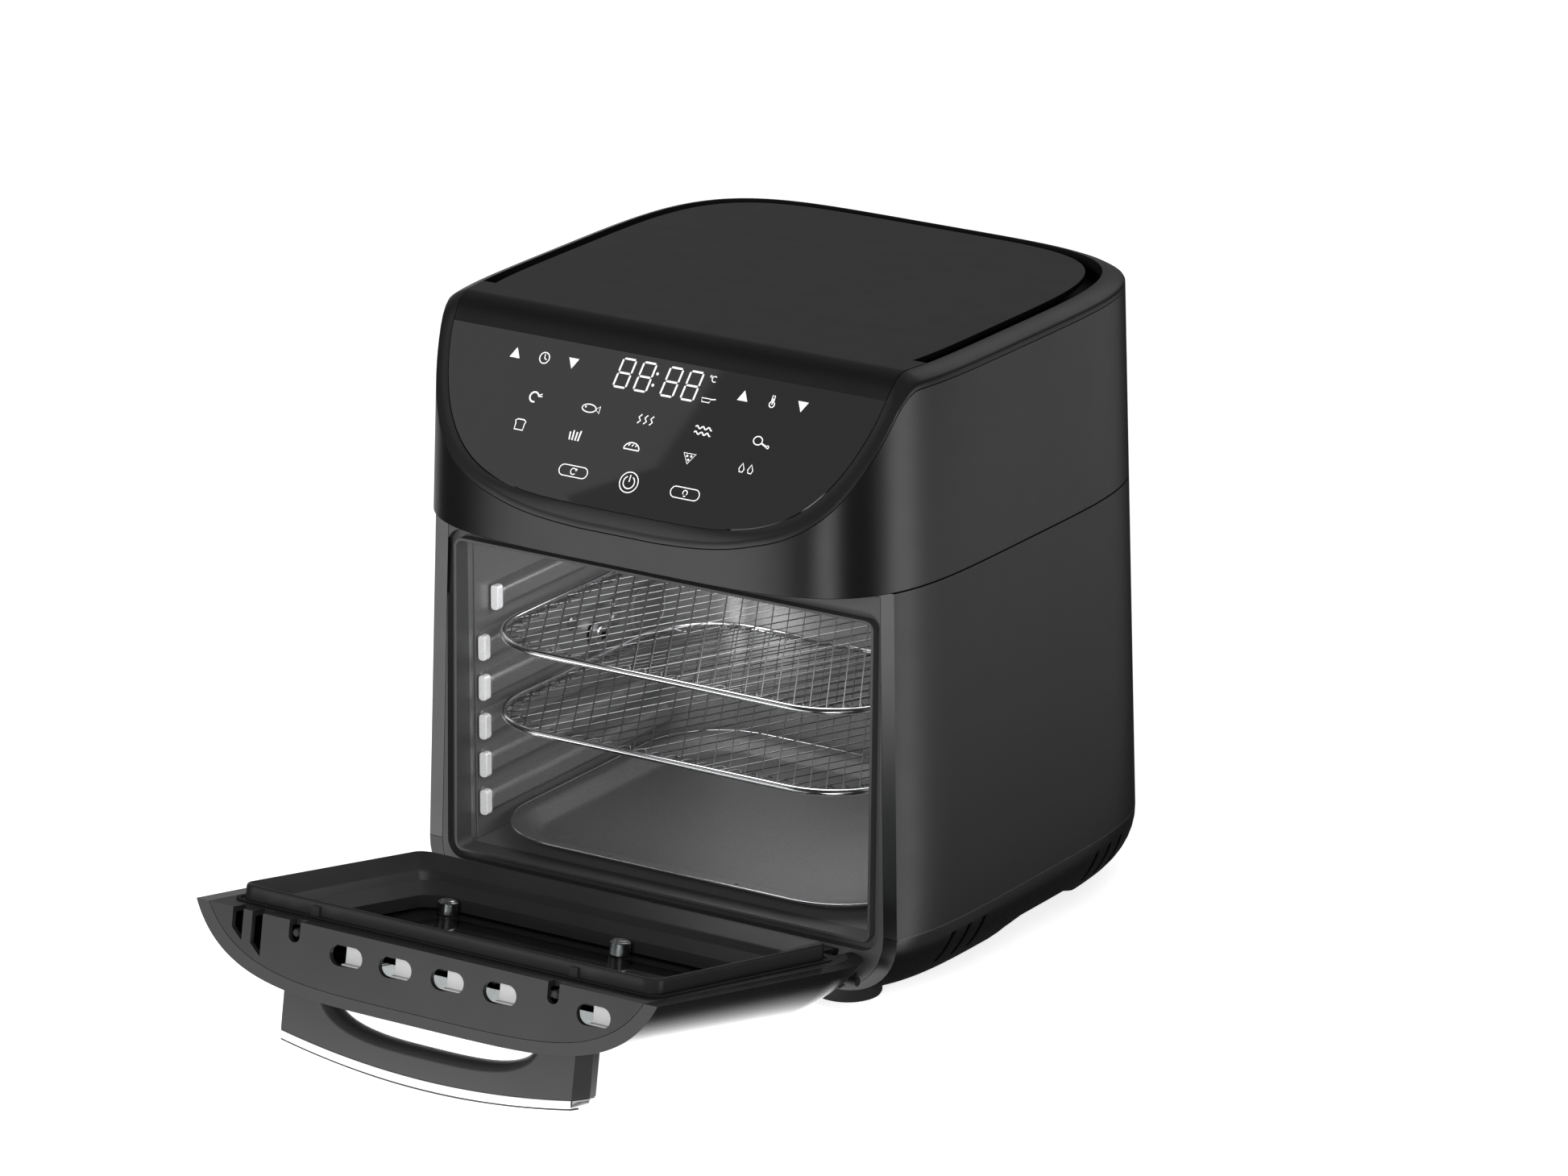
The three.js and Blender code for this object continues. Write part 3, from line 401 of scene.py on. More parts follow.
def cover_z(y):
    """Height of the panel and the top, with the fold between them."""
    return smooth_min(face_z(y), RIM_Z, FOLD)


def seam_z(x, y):
    """Height of the seam under the rim, which follows the panel down and sags in its middle."""
    sag = max(0.0, 3.9 * (1 - (x / 80) ** 2))
    return smooth_min(face_z(y, -3.8), RIM_SEAM_Z, 13) - (sag if y < 0 else 0)


def seam_point(t, lift, inset):
    """Point of that seam at one angle round the body, found by repeated halving."""
    z = RIM_SEAM_Z
    for _ in range(40):
        z = 0.5 * z + 0.5 * seam_z(*body_point(t, z))
    return (*body_point(t, z + lift, inset), z + lift)


def seam_loop(lift, inset):
    return [seam_point(t, lift, inset) for t in ANGLES]


def bezel_edge(t, extra):
    """Inner edge of the rim: narrow beside the panel, wider round the top plate."""
    point = body_point(t, RIM_Z, 10)
    for _ in range(40):
        z = cover_z(point[1])
        blend = min(1.0, max(0.0, (point[1] + 118) / 33))
        blend = blend * blend * (3 - 2 * blend)
        point = outline_point(t, HALF_WIDTH + growth(z) - (7 + 3 * blend) - extra,
                              HALF_FRONT + growth(z) - 2.1 - extra, HALF_REAR + growth(z) - 10 - extra)
    return point


def bezel_plan(extra):
    return [bezel_edge(t, extra) for t in ANGLES]


def cover_slab(below, above):
    """Layer that follows the panel and the top."""
    steps = [-170.0, -153.0, -130.0] + spread(-116, -84, 33) + [170.0]
    under = [(y, cover_z(y) - below) for y in steps]
    top = [(y, cover_z(y) + above) for y in reversed(steps)]
    return prism(under + top, "x", -170, 170)


# ---------------------------------------------------------------- materials
class Tree:
    """The node tree of a new material or world."""

    def __init__(self, owner):
        owner.use_nodes = True
        self.tree = owner.node_tree

    def node(self, kind, links=(), **values):
        """A new node, with values for its inputs or settings and sources for its other inputs."""
        node = self.tree.nodes.new(kind)
        for key, value in values.items():
            if key in node.inputs:
                node.inputs[key].default_value = value
            else:
                setattr(node, key, value)
        for key, source in dict(links).items():
            self.tree.links.new(source, node.inputs[key])
        return node


class Finish(Tree):
    """A new material with its shader and object coordinates at hand."""

    def __init__(self, name, **inputs):
        self.material = bpy.data.materials.new(name)
        super().__init__(self.material)
        self.shader = self.tree.nodes["Principled BSDF"]
        self.place = self.node("ShaderNodeTexCoord").outputs["Object"]
        for key, value in inputs.items():
            self.shader.inputs[key.replace("_", " ")].default_value = value

    def noise(self, scale, detail, stretch=(1, 1, 1)):
        mapped = self.node("ShaderNodeMapping", {"Vector": self.place}, Scale=stretch).outputs["Vector"]
        return self.node("ShaderNodeTexNoise", {"Vector": mapped}, Scale=scale, Detail=detail).outputs["Fac"]

    def ramp(self, source, low, high, start=0.35, end=0.65):
        node = self.node("ShaderNodeValToRGB", {"Fac": source})
        stops = node.color_ramp.elements
        stops[0].position = start
        stops[1].position = end
        stops[0].color = (*low, 1)
        stops[1].color = (*high, 1)
        return node.outputs["Color"]

    def range(self, source, low, high, start=0.0, end=1.0):
        limits = {"From Min": start, "From Max": end, "To Min": low, "To Max": high}
        return self.node("ShaderNodeMapRange", {"Value": source}, **limits).outputs["Result"]

    def set(self, key, source):
        self.tree.links.new(source, self.shader.inputs[key])

    def bump(self, source, depth):
        node = self.node("ShaderNodeBump", {"Height": source}, Strength=1.0, Distance=depth * MM)
        self.set("Normal", node.outputs["Normal"])


def shaded(colour, factor):
    return [c * factor for c in colour]


def moulded(name, colour, roughness, grain=0.012, specular=0.5):
    """Moulded plastic or satin paint: slight cloudiness, fine grain, uneven polish."""
    m = Finish(name, Specular_IOR_Level=specular)
    m.set("Base Color", m.ramp(m.noise(14, 3), shaded(colour, 0.94), shaded(colour, 1.06)))
    m.set("Roughness", m.range(m.noise(60, 4), roughness * 0.9, roughness * 1.12))
    m.bump(m.noise(1500, 3), grain)
    return m.material


def coated(name, colour, roughness, flake=0.35, metallic=0.55):
    """Non-stick coating on sheet metal with a fine metallic fleck."""
    m = Finish(name, Metallic=metallic)
    fleck = m.ramp(m.noise(2600, 1), shaded(colour, 1 - flake), shaded(colour, 1 + flake), 0.36, 0.66)
    m.set("Base Color", fleck)
    m.set("Roughness", m.range(m.noise(26, 4), roughness * 0.88, roughness * 1.15))
    m.bump(m.noise(1300, 2), 0.02)
    return m.material


def metal(name, colour, roughness, stretch=(1, 1, 1)):
    """Bare or plated metal with fine scratches, which a stretch draws out one way."""
    m = Finish(name, Metallic=1.0)
    scratches = m.noise(500, 4, stretch)
    m.set("Base Color", m.ramp(m.noise(30, 3), shaded(colour, 0.93), colour))
    m.set("Roughness", m.range(scratches, roughness * 0.75, roughness * 1.3))
    m.bump(scratches, 0.006)
    return m.material


def pane(name, colour, roughness):
    """Tinted glass, very slightly wavy."""
    m = Finish(name, Transmission_Weight=1.0, IOR=1.45)
    m.set("Base Color", m.ramp(m.noise(9, 2), shaded(colour, 0.96), colour))
    m.set("Roughness", m.range(m.noise(70, 3), roughness * 0.6, roughness * 1.5))
    m.bump(m.noise(22, 1), 0.002)
    return m.material


def grey(value):
    """Grey with a trace of blue."""
    return (value, value, value * 1.01)


HOUSING = moulded("satin_charcoal", grey(0.0045), 0.31)
LOWER = moulded("satin_lower", grey(0.0045), 0.34)
# A lighter, glossier copy of the lower housing's finish for its front face: a painted highlight.
FLANGE_HIGHLIGHT = moulded("flange_painted_highlight", grey(0.006), 0.33, specular=0.95)
BASE = moulded("gloss_black", grey(0.004), 0.26, 0.004, specular=0.55)
BEZEL = moulded("satin_bezel", grey(0.009), 0.34)
COVER = moulded("top_grain", grey(0.005), 0.36)
PANEL = moulded("touch_panel", grey(0.004), 0.015, 0.0)
FRAME = moulded("frame_satin", grey(0.040), 0.42, specular=0.45)
DOOR_INSIDE = moulded("door_satin", grey(0.015), 0.40, specular=0.3)
DOOR_CASE = moulded("satin_door_case", grey(0.0045), 0.22)
DOOR_END = moulded("door_end", grey(0.014), 0.38)
HANDLE = moulded("handle_satin", grey(0.014), 0.36)
# Pale grey behind the door's vents: painted light for the brightness seen through them.
VENT_LIGHT = moulded("painted_vent_light", grey(0.40), 0.4)
# Near-white colour of the rib ends: a painted highlight.
RIB_END_HIGHLIGHT = coated("rib_end_painted_highlight", grey(0.78), 0.30, 0.1, metallic=0.3)
DARK = moulded("dark_plastic", grey(0.008), 0.6)
RUBBER = moulded("rubber", grey(0.012), 0.75, 0.03)
LINER = coated("liner_coating", grey(0.19), 0.34, metallic=0.6)
# Pale grey of the band round the top of the base: a painted highlight along the seam.
SEAM_HIGHLIGHT = moulded("painted_seam_highlight", grey(0.09), 0.45)
TRAY = coated("tray_coating", grey(0.10), 0.40, metallic=0.4)
CHROME = metal("chrome", (0.88, 0.88, 0.89), 0.18)
STRIP = metal("polished_strip", (0.62, 0.62, 0.63), 0.12)
WIRE = metal("plated_wire", (0.26, 0.26, 0.265), 0.3)
STEEL = metal("steel", (0.55, 0.55, 0.55), 0.3, (1, 1, 8))
ALUMINIUM = metal("aluminium", (0.62, 0.63, 0.64), 0.38)
COIL = metal("heated_steel", (0.25, 0.22, 0.2), 0.45)
GLASS = pane("door_glass", (0.70, 0.74, 0.74), 0.03)
LENS = moulded("lamp_lens", (0.07, 0.07, 0.068), 0.3, 0.01)
BOARD = moulded("circuit_board", (0.02, 0.09, 0.04), 0.4)
PRINT = moulded("white_print", (0.86, 0.86, 0.86), 0.5)
BORDER = moulded("glass_border", grey(0.006), 0.15, 0.001)


# ---------------------------------------------------------------- housings
BASE_LEVELS = [BASE_Z + step for step in (0, 0.3, 0.9, 1.9, 3.2, 5, 7.5, 10.5, 14, 18, 22.5, 27.5)] + [SEAM_Z]
DOOR_LEVELS = [8.5, 9, 10, 11.5, 13.5, 16, 19, 23, 28, 33, 39, 46, 54, 60, 66]
ROOM_LEVELS = [16, 18, 20, 24, 28, 33, 39, 46, 54, 60, 66]


def window_tool():
    return prism(frame_outline(FRAME_STRIP, 9, SPLIT_Z - 3), "y", -130, -100)


def base_pan():
    arch = prism([(-44, -5), (-32, BASE_Z + 2), (-16, 17), (-4, 19.5), (48, 19.5), (56, 16),
                  (66, BASE_Z + 1), (70, -5)], "x", -180, 180)
    slots = []
    for y in (-84, -70, -56, 58, 72, 86):
        slot = [(y - 2, 19), (y + 1.8, 19), (y + 11, 34), (y + 7.2, 34)]
        slots += [prism(slot, "x", 135, 170), prism(slot, "x", -170, -135)]
    room = cut(body_loft([17.5, 18, 21, 25, 29, 33, SEAM_Z + 1], 3), flange_slab(-80, 3))
    shell = cut(body_loft(BASE_LEVELS, 0), flange_slab(-80, 0), arch, room, window_tool(), *slots)
    piece(shell, "base_shell", "oven", BASE, ["base_pan"], bevel=0.7)


def seam_highlight():
    """A pale band round the top of the base where it meets the lower housing, its lightness a painted
    highlight.
    """
    band = body_loft([SEAM_Z - 0.4, SEAM_Z + 0.5], 0.05)
    line = cut(band, body_loft([SEAM_Z - 1, SEAM_Z + 1], 1.5), flange_slab(-80, 1))
    piece(line, "seam_highlight", "oven", SEAM_HIGHLIGHT, slot="base_pan")


def lower_housing():
    room = cut(body_loft([SEAM_Z - 1, SPLIT_Z + 1], WALL), flange_slab(-80, 3))
    shell = cut(body_loft([SEAM_Z + GAP, SPLIT_Z - GAP], 0), flange_slab(-80, 0), room, window_tool(),
                inlet_rod(140, 175, 9.3))
    case = piece(shell, "lower_case", "oven", LOWER, ["lower_housing"], bevel=0.5)
    # The faces that look forward take the lighter copy of the finish, a painted highlight.
    second_finish(case, FLANGE_HIGHLIGHT, Vector((0, -1, 0)))


def louvre_slots(y, z):
    """Seven upright slots side by side in the rear."""
    return [box((18 * i - 59, 18 * i - 49), y, z) for i in range(7)]


def upper_housing():
    bottom = SPLIT_Z + GAP
    rows = 5
    seam = seam_loop(-GAP / 2, 0)
    outside = [body_loop(bottom)]
    for k in range(1, rows + 1):
        heights = [bottom + (top[2] - bottom) * k / rows for top in seam]
        outside.append([(*body_point(t, z), z) for t, z in zip(ANGLES, heights)])
    inside = [seam_loop(-GAP / 2, WALL), body_loop(bottom, WALL)]
    ledge = clip(body_loft([bottom, bottom + 2.6], 1), flange_slab(-80, 6))
    case = cut(unite(ring(outside + inside), ledge), *louvre_slots((140, 175), (262, 286)))
    piece(case, "upper_case", "oven", HOUSING, ["upper_housing"], bevel=0.6)


def top_bezel():
    def edge(drop):
        return [Vector((x, y, cover_z(y) - drop)) for x, y in bezel_plan(0)]

    low = [Vector(point) for point in seam_loop(2.9, 0.5)]
    high = edge(0.3)
    crown = [[a.lerp(b, part) + Vector((0, 0, bulge)) for a, b in zip(low, high)]
             for part, bulge in ((0.12, 0.35), (0.35, 0.75), (0.65, 0.7), (0.9, 0.25))]
    loops = [seam_loop(GAP / 2, 0), seam_loop(1.9, 0.05), low, *crown, high, edge(6),
             seam_loop(GAP / 2, WALL)]
    piece(ring(loops), "bezel", "oven", BEZEL, ["top_bezel"], crease=40)


def top_cover():
    """The flat top, which is wider in front where it folds down toward the panel."""
    heights = (290, 345)
    wide = prism(bezel_plan(GAP), "z", *heights)
    front = clip(wide, box((-170, 170), (PANEL_TOP_Y + 0.05, -77), heights))
    narrow = prism(body_plan(RIM_Z, 17.5), "z", *heights)
    plate = clip(narrow, box((-170, 170), (-80, 170), heights))
    cover = clip(unite(front, plate), cover_slab(3, 0))
    piece(cover, "cover_plate", "oven", COVER, ["top_cover"], bevel=0.6)


def control_glass():
    heights = (230, 345)
    whole = prism(bezel_plan(GAP), "z", *heights)
    panel = clip(whole, box((-170, 170), (-170, PANEL_TOP_Y), heights), cover_slab(3.2, 0))
    piece(panel, "touch_panel", "oven", PANEL, ["control_glass"])


def vent_deck():
    """Slotted deck at the bottom of the gap round the top plate, with dark baffles under its slots."""
    deck = prism(body_plan(320, 4.5), "z", 318.5, 320.5)
    slots = []
    for y in spread(-60, 84, 13):
        slots += [box((128, 138), (y, y + 7), (310, 325)), box((-138, -128), (y, y + 7), (310, 325))]
    deck = cut(deck, box((-170, 170), (-170, -76), (310, 330)), *slots)
    piece(deck, "gap_deck", "oven", DARK, ["vent_deck"], bevel=0.4)
    within = prism(body_plan(313, 6), "z", 311, 315)
    baffles = [box(x, (-76, 104), (312.5, 314)) for x in ((-150, -122), (122, 150))]
    piece(clip(joined(baffles), within), "gap_baffles", "oven", DARK, slot="vent_deck")


def front_frame():
    def rounded(x, z0, z1, radius, y0, y1):
        return prism(rounded_rect(-x, z0, x, z1, radius), "y", y0, y1)

    low, high = OPEN_Z
    bead_size = (OPEN_HALF + 1.4, low - 1.4, high + 1.4, 5)
    outer = prism(frame_outline(FRAME_STRIP + GAP, 9.3, SPLIT_Z - 3.3), "y", -130, -100)
    plate = clip(outer, flange_slab(0, 3.6))
    backing = clip(rounded(135.5, 30, 212.5, 8, -130, -100), flange_slab(3.4, 7))
    groove = clip(cut(rounded(133.3, low - 6.2, high + 6.2, 10, -130, -100), rounded(*bead_size, -140, -90)),
                  flange_slab(-5, 5))
    bead = clip(rounded(*bead_size, -125, MOUTH_DEPTH_Y), flange_slab(-0.4, 40))
    whole = unite(cut(unite(plate, backing), groove), bead)
    opening = rounded(OPEN_HALF, low, high, 4, -140, -90)
    piece(cut(whole, opening), "mouth_frame", "oven", FRAME, ["front_frame"], bevel=0.5)


def exhaust_louvre():
    plate = prism(rounded_rect(-66, 257, 66, 291, 6), "y", 154.6, 158.6)
    louvre = cut(plate, *louvre_slots((150, 165), (261, 287)))
    piece(louvre, "exhaust_louvre", "oven", COVER, ["rear_exhaust_cover"], bevel=0.7)


def feet():
    profile = [(-2, 15.5), (-2, 16.5), (-1.6, 17.4), (-0.5, 18), (5.6, 18), (6.7, 17.4)]
    for end, y in (("front", -FOOT_Y), ("rear", FOOT_Y)):
        for side, x in (("left", -FOOT_X), ("right", FOOT_X)):
            foot = lathe(profile, (x, y, 0), (x, y, 1))
            piece(foot, f"foot_pad_{end}_{side}", "oven", RUBBER, [f"foot_{end}_{side}"], "foot")


def inlet_rod(start, end, radius, end_radius=None):
    """Round bar along Y through the place where the cord would enter."""
    x, z = INLET
    return rod((x, start, z), (x, end, z), radius, end_radius)


def inlet_bush():
    collar = unite(inlet_rod(158.6, 163, 12, 11), inlet_rod(150, 158.8, 8.8))
    bush = cut(collar, inlet_rod(140, 170, 4.2))
    piece(bush, "inlet_bush", "oven", RUBBER, ["cord_inlet"], bevel=0.6)


# ---------------------------------------------------------------- cavity
def liner():
    def outline(inset):
        x = OPEN_HALF + 0.9 - inset
        y = CAVITY_REAR_Y + 0.9 - inset
        radius = 33 - inset
        arc = [math.pi / 2 * i / 12 for i in range(13)]
        right = [(x - radius + radius * math.cos(q), y - radius + radius * math.sin(q)) for q in arc]
        left = [(-u, v) for u, v in reversed(right)]
        return [(-x, MOUTH_DEPTH_Y + GAP), (x, MOUTH_DEPTH_Y + GAP)] + right + left

    inside = (CAVITY_FLOOR_Z, CAVITY_TOP_Z)
    room = unite(prism(outline(0.9), "z", *inside), box((-OPEN_HALF, OPEN_HALF), (-120, 0), inside))
    fan_hole = rod((0, 4, 200), (0, 4, 230), 92, sides=64)
    side_holes = box((-140, 140), (-82, 76), (CAVITY_FLOOR_Z + 12, CAVITY_TOP_Z - 12))
    shell = cut(prism(outline(0), "z", CAVITY_FLOOR_Z - 0.9, CAVITY_TOP_Z + 0.9), room, fan_hole, side_holes)
    piece(shell, "cavity_shell", "oven", LINER, ["cavity_liner"], bevel=0.3)


def side_panel():
    """Left wall sheet with its pressed ribs, which are domed in section."""
    section = ((0.4, -0.6), (1.2, 0.1), (2.4, 0.7), (4.6, 1.5), (6.0, 2.5), (6.7, 3.6), (7.0, 4.6))
    plate = box((SHEET_X, SHEET_X + 0.9), (-100, 78), (CAVITY_FLOOR_Z + GAP, CAVITY_TOP_Z - GAP))
    ribs = []
    for k, z in enumerate(RIB_Z):
        front = -86 if k == 0 else -98
        rear = -27 if k == 2 else 76
        loops = []
        for depth, shrink in section:
            outline = rounded_rect(front + shrink, z - 7.4 + shrink, rear - shrink, z + 7.4 - shrink,
                                   max(0.8, 4.2 - 0.5 * shrink), 5)
            loops.append([(SHEET_X + depth, y, w) for y, w in outline])
        ribs.append(loft(loops))
    return unite(plate, *ribs)


def side_panels():
    left = side_panel()
    right = mirrored(left)
    left = cut(left, rod((-140, DRIVE_Y, DRIVE_Z), (-110, DRIVE_Y, DRIVE_Z), 6.5),
               prism(rounded_rect(45, 107, 75.7, 131, 9), "x", -140, -110))
    piece(left, "left_shelf_wall", "oven", LINER, ["left_side_panel"], "side_panel", crease=40)
    piece(right, "right_shelf_wall", "oven", LINER, ["right_side_panel"], "side_panel", crease=40)


def lamp_cover():
    rim = cut(prism(rounded_rect(43.4, 106.2, 77.2, 132.4, 10), "x", -126.4, -124.9),
              prism(rounded_rect(46, 108.9, 74.8, 130, 8), "x", -130, -120))
    piece(rim, "lamp_rim", "oven", LINER, slot="side_panel", bevel=0.5)
    lens = loft([[(x, y, z) for y, z in rounded_rect(45.3 + s, 107.3 + s, 75.4 - s, 130.7 - s, 8, 6)]
                 for x, s in ((-128.4, 0), (-126.6, 0), (-125.6, 0.8), (-125.2, 2.5))])
    piece(lens, "lamp_lens", "oven", LENS, ["lamp_cover"], crease=50)


def panel_screws():
    for k, (y, z) in enumerate(((28.7, 128.5), (27.8, 121.5), (-12, 131), (15.8, 135.5))):
        head = lathe([(0, 4.2), (0.9, 4.0), (1.7, 3.0), (2.0, 1.6)], (-126.2, y, z), (-120, y, z), 24)
        slot = box((-125.1, -120), (y - 2.6, y + 2.6), (z - 0.45, z + 0.45))
        piece(cut(head, slot), f"panel_screw_{k}", "oven", STEEL, slot="spit_support")


def rib_end_highlights():
    """The pressed front ends of the shelf ribs, coloured near-white as a painted highlight."""
    ends = []
    for k, z in enumerate(RIB_Z):
        front = -87.4 if k == 0 else -99.4
        outline = rounded_rect(SHEET_X + 1.6, z - 6.8, SHEET_X + 6.4, z + 6.8, 1.8, 5)
        ends.append(prism(outline, "y", front, front + 5))
    left = joined(ends)
    right = mirrored(left)
    piece(left, "left_rib_end_highlights", "oven", RIB_END_HIGHLIGHT, slot="side_panel", bevel=0.6)
    piece(right, "right_rib_end_highlights", "oven", RIB_END_HIGHLIGHT, slot="side_panel", bevel=0.6)


def drive_socket():
    """The turning stub in the left wall, with the square hole for a spit."""
    profile = [(0, 4), (12.4, 4), (12.4, 5.6), (13, 6.2), (17.6, 6.2), (18.5, 5.6)]
    stub = lathe(profile, (-138, DRIVE_Y, DRIVE_Z), (0, DRIVE_Y, DRIVE_Z), 32)
    square = box((-128, -115), (DRIVE_Y - 2.2, DRIVE_Y + 2.2), (DRIVE_Z - 2.2, DRIVE_Z + 2.2))
    piece(cut(stub, square), "drive_socket", "rotisserie_drive", CHROME, ["rotisserie_socket"], bevel=0.2)


# ---------------------------------------------------------------- racks and tray
def wires(paths, radius, sides):
    """Round wires along (point list, whether closed) pairs, as one mesh of closed tubes."""
    points, faces = [], []
    for path, closed in paths:
        count = len(path)
        start = len(points)
        previous = None
        for i, p in enumerate(path):
            p = Vector(p)
            before = Vector(path[i - 1] if i or closed else path[0])
            after = Vector(path[(i + 1) % count] if i < count - 1 or closed else path[-1])
            tangent = (after - before).normalized()
            if previous is None:
                previous = tangent.cross(Vector((0, 0, 1)))
                if previous.length < 0.1:
                    previous = Vector((1, 0, 0))
            side = (previous - tangent * previous.dot(tangent)).normalized()
            previous = side
            other = tangent.cross(side)
            points += [p + (side * math.cos(q) + other * math.sin(q)) * radius
                       for q in (2 * math.pi * k / sides for k in range(sides))]
        for i in range(count if closed else count - 1):
            a = start + i * sides
            b = start + (i + 1) % count * sides
            faces += [(a + k, a + (k + 1) % sides, b + (k + 1) % sides, b + k) for k in range(sides)]
        if not closed:
            faces.append(tuple(range(start, start + sides))[::-1])
            faces.append(tuple(range(start + (count - 1) * sides, start + count * sides)))
    return solid(points, faces)


def inside_rack(x, y, inset):
    """Whether a point lies within the rack outline drawn in by an inset."""
    corner_x = abs(x) - (RACK_HALF - RACK_CORNER)
    middle = (RACK_FRONT_Y + RACK_REAR_Y) / 2
    corner_y = abs(y - middle) - ((RACK_REAR_Y - RACK_FRONT_Y) / 2 - RACK_CORNER)
    reach = RACK_CORNER - inset
    if corner_x > 0 and corner_y > 0:
        return math.hypot(corner_x, corner_y) < reach
    return corner_x < reach and corner_y < reach


def mesh_wires(lean, pitch, height):
    """Straight wires leaning one way across the rack, cut to its outline."""
    depth = RACK_REAR_Y - RACK_FRONT_Y
    samples = 600
    straight = []
    for i in range(-60, 61):
        inside = []
        for k in range(samples + 1):
            y = RACK_FRONT_Y + depth * k / samples
            x = pitch * (i + 0.5) + lean * (y - RACK_FRONT_Y) - 60 * lean
            if inside_rack(x, y, 1.4):
                inside.append((x, y, height))
        if len(inside) > 25:
            straight.append(([inside[0], inside[-1]], False))
    return straight


def edge_loops(height):
    """The wavy wire that binds the mesh to the frame."""
    around = rack_outline()
    length = [0.0]
    for a, b in zip(around, around[1:] + around[:1]):
        length.append(length[-1] + math.dist(a, b))
    path = []
    waves = 84
    per_wave = 6
    samples = waves * per_wave
    for k in range(samples):
        s = length[-1] * k / samples
        i = max(j for j in range(len(around)) if length[j] <= s)
        a, b = Vector(around[i]), Vector(around[(i + 1) % len(around)])
        p = a.lerp(b, (s - length[i]) / max(1e-6, length[i + 1] - length[i]))
        inward = Vector((-(b - a).y, (b - a).x)).normalized()
        phase = 2 * math.pi * k / per_wave
        path.append((*(p + inward * (5.0 - 4.2 * math.cos(phase))), height + 0.9 * math.sin(phase)))
    return (path, True)


def rack_outline():
    return rounded_rect(-RACK_HALF, RACK_FRONT_Y, RACK_HALF, RACK_REAR_Y, RACK_CORNER, 16)


def rack(name, z):
    frame_path = [(x, y, z) for x, y in rack_outline()]
    bar = wires([(frame_path, True)], RACK_ROD, 16)
    piece(bar, name + "_frame", name, CHROME, [name], "rack", crease=60)
    fine = [*mesh_wires(-0.59, 9.8, z + 0.35), *mesh_wires(0.484, 10.7, z - 0.3), edge_loops(z)]
    piece(wires(fine, MESH_WIRE, 6), name + "_mesh", name, WIRE, slot="rack", crease=60)


def drip_tray():
    def loop(inset, radius, z):
        outline = rounded_rect(-TRAY_HALF + inset, TRAY_FRONT_Y + inset, TRAY_HALF - inset,
                               TRAY_REAR_Y - inset, radius, 12)
        return [(x, y, z) for x, y in outline]

    low = CAVITY_FLOOR_Z + 0.7
    top = TRAY_TOP_Z
    section = [(18, 30, low), (16, 32, low + 0.2), (14.8, 33, low + 0.9), (10, 37.5, top - 2.2),
               (8.6, 39, top - 1.3), (6.5, 41, top - 0.9), (0.8, 46.5, top - 0.9), (0.1, 47.3, top - 0.75),
               (0, 47.5, top - 0.4), (0.3, 47.2, top - 0.1), (1.4, 46, top), (7, 40.5, top - 0.15),
               (8.6, 39, top - 0.7), (10.4, 37.3, top - 1.8), (15.4, 32.5, low + 1.9), (17, 31, low + 1.1),
               (19.5, 29, low + 0.8)]
    holes = [rod((x, -104.3, 35), (x, -104.3, 55), 1.3, sides=16) for x in (-39, 39)]
    dimples = [lathe([(0, 2), (0.5, 6), (1.6, 8), (3, 8.6)], (x, -80, low + 0.25), (x, -80, 60), 32)
               for x in (-84, 84)]
    tray = cut(loft([loop(*step) for step in section]), *holes, *dimples)
    piece(tray, "tray_pan", "drip_tray", TRAY, ["drip_tray"], crease=50)
    edge = wires([(loop(0.65, 46.9, top - 0.35), True)], 0.62, 10)
    piece(edge, "tray_edge", "drip_tray", CHROME, slot="drip_tray", crease=60)


# ---------------------------------------------------------------- door, built shut
def hinge_rod(x, reach, radius, sides=32):
    """Round bar on the hinge line, reaching equally far to both sides of x."""
    return rod((x - reach, HINGE_Y, HINGE_Z), (x + reach, HINGE_Y, HINGE_Z), radius, sides=sides)


def hinge_tools():
    """What the hinge takes out of the door: room to turn, a notch for each knuckle and the pin's bore."""
    corner = box((-200, 200), (HINGE_Y, -100), (0, HINGE_Z))
    relief = cut(corner, hinge_rod(0, 200, 14.7, 64))
    notches = [box((x - 4.5, x + 4.5), (-160, -100), (0, HINGE_Z + 11)) for x in (-HINGE_X, HINGE_X)]
    bores = [hinge_rod(x, 16, 2.9) for x in (-HINGE_X, HINGE_X)]
    return [relief, *notches, *bores]


def window_prism(grow):
    half, low, high = WINDOW
    return prism(rounded_rect(-half - grow, low - grow, half + grow, high + grow, 14), "y", -180, -120)


def door_shell():
    room = door_loft(ROOM_LEVELS + [DOOR_TOP_Z + 1], DOOR_SKIN)
    outer = clip(door_loft(DOOR_LEVELS + [DOOR_TOP_Z], 0), flange_slab(-80, DOOR_BACK))
    shell = cut(outer, room, window_prism(0), *hinge_tools())
    piece(shell, "door_case", "door", DOOR_CASE, ["door_shell"], bevel=0.6)


def outer_glass():
    curved = cut(door_loft([60, 110, DOOR_TOP_Z - 12], 1.2), door_loft([59, 110, DOOR_TOP_Z - 11], 4.6))
    glass = clip(curved, window_prism(-GAP), flange_slab(-80, -22))
    piece(glass, "outer_pane", "door", GLASS, ["door_outer_glass"], bevel=0.3)


def depth_loop(half, low, high, radius, offset):
    """Rounded rectangle parallel to the flange, at an offset behind it."""
    return [(x, FLANGE_Y + offset + FLANGE_LEAN * (z - SEAM_Z), z)
            for x, z in rounded_rect(-half, low, half, high, radius, 6)]


def rim_loop(grow, radius, offset):
    """Loop of the liner's rim, drawn in toward the window by grow."""
    return depth_loop(RIM_HALF - grow, RIM_SPAN[0] + grow, RIM_SPAN[1] - grow, radius, offset)


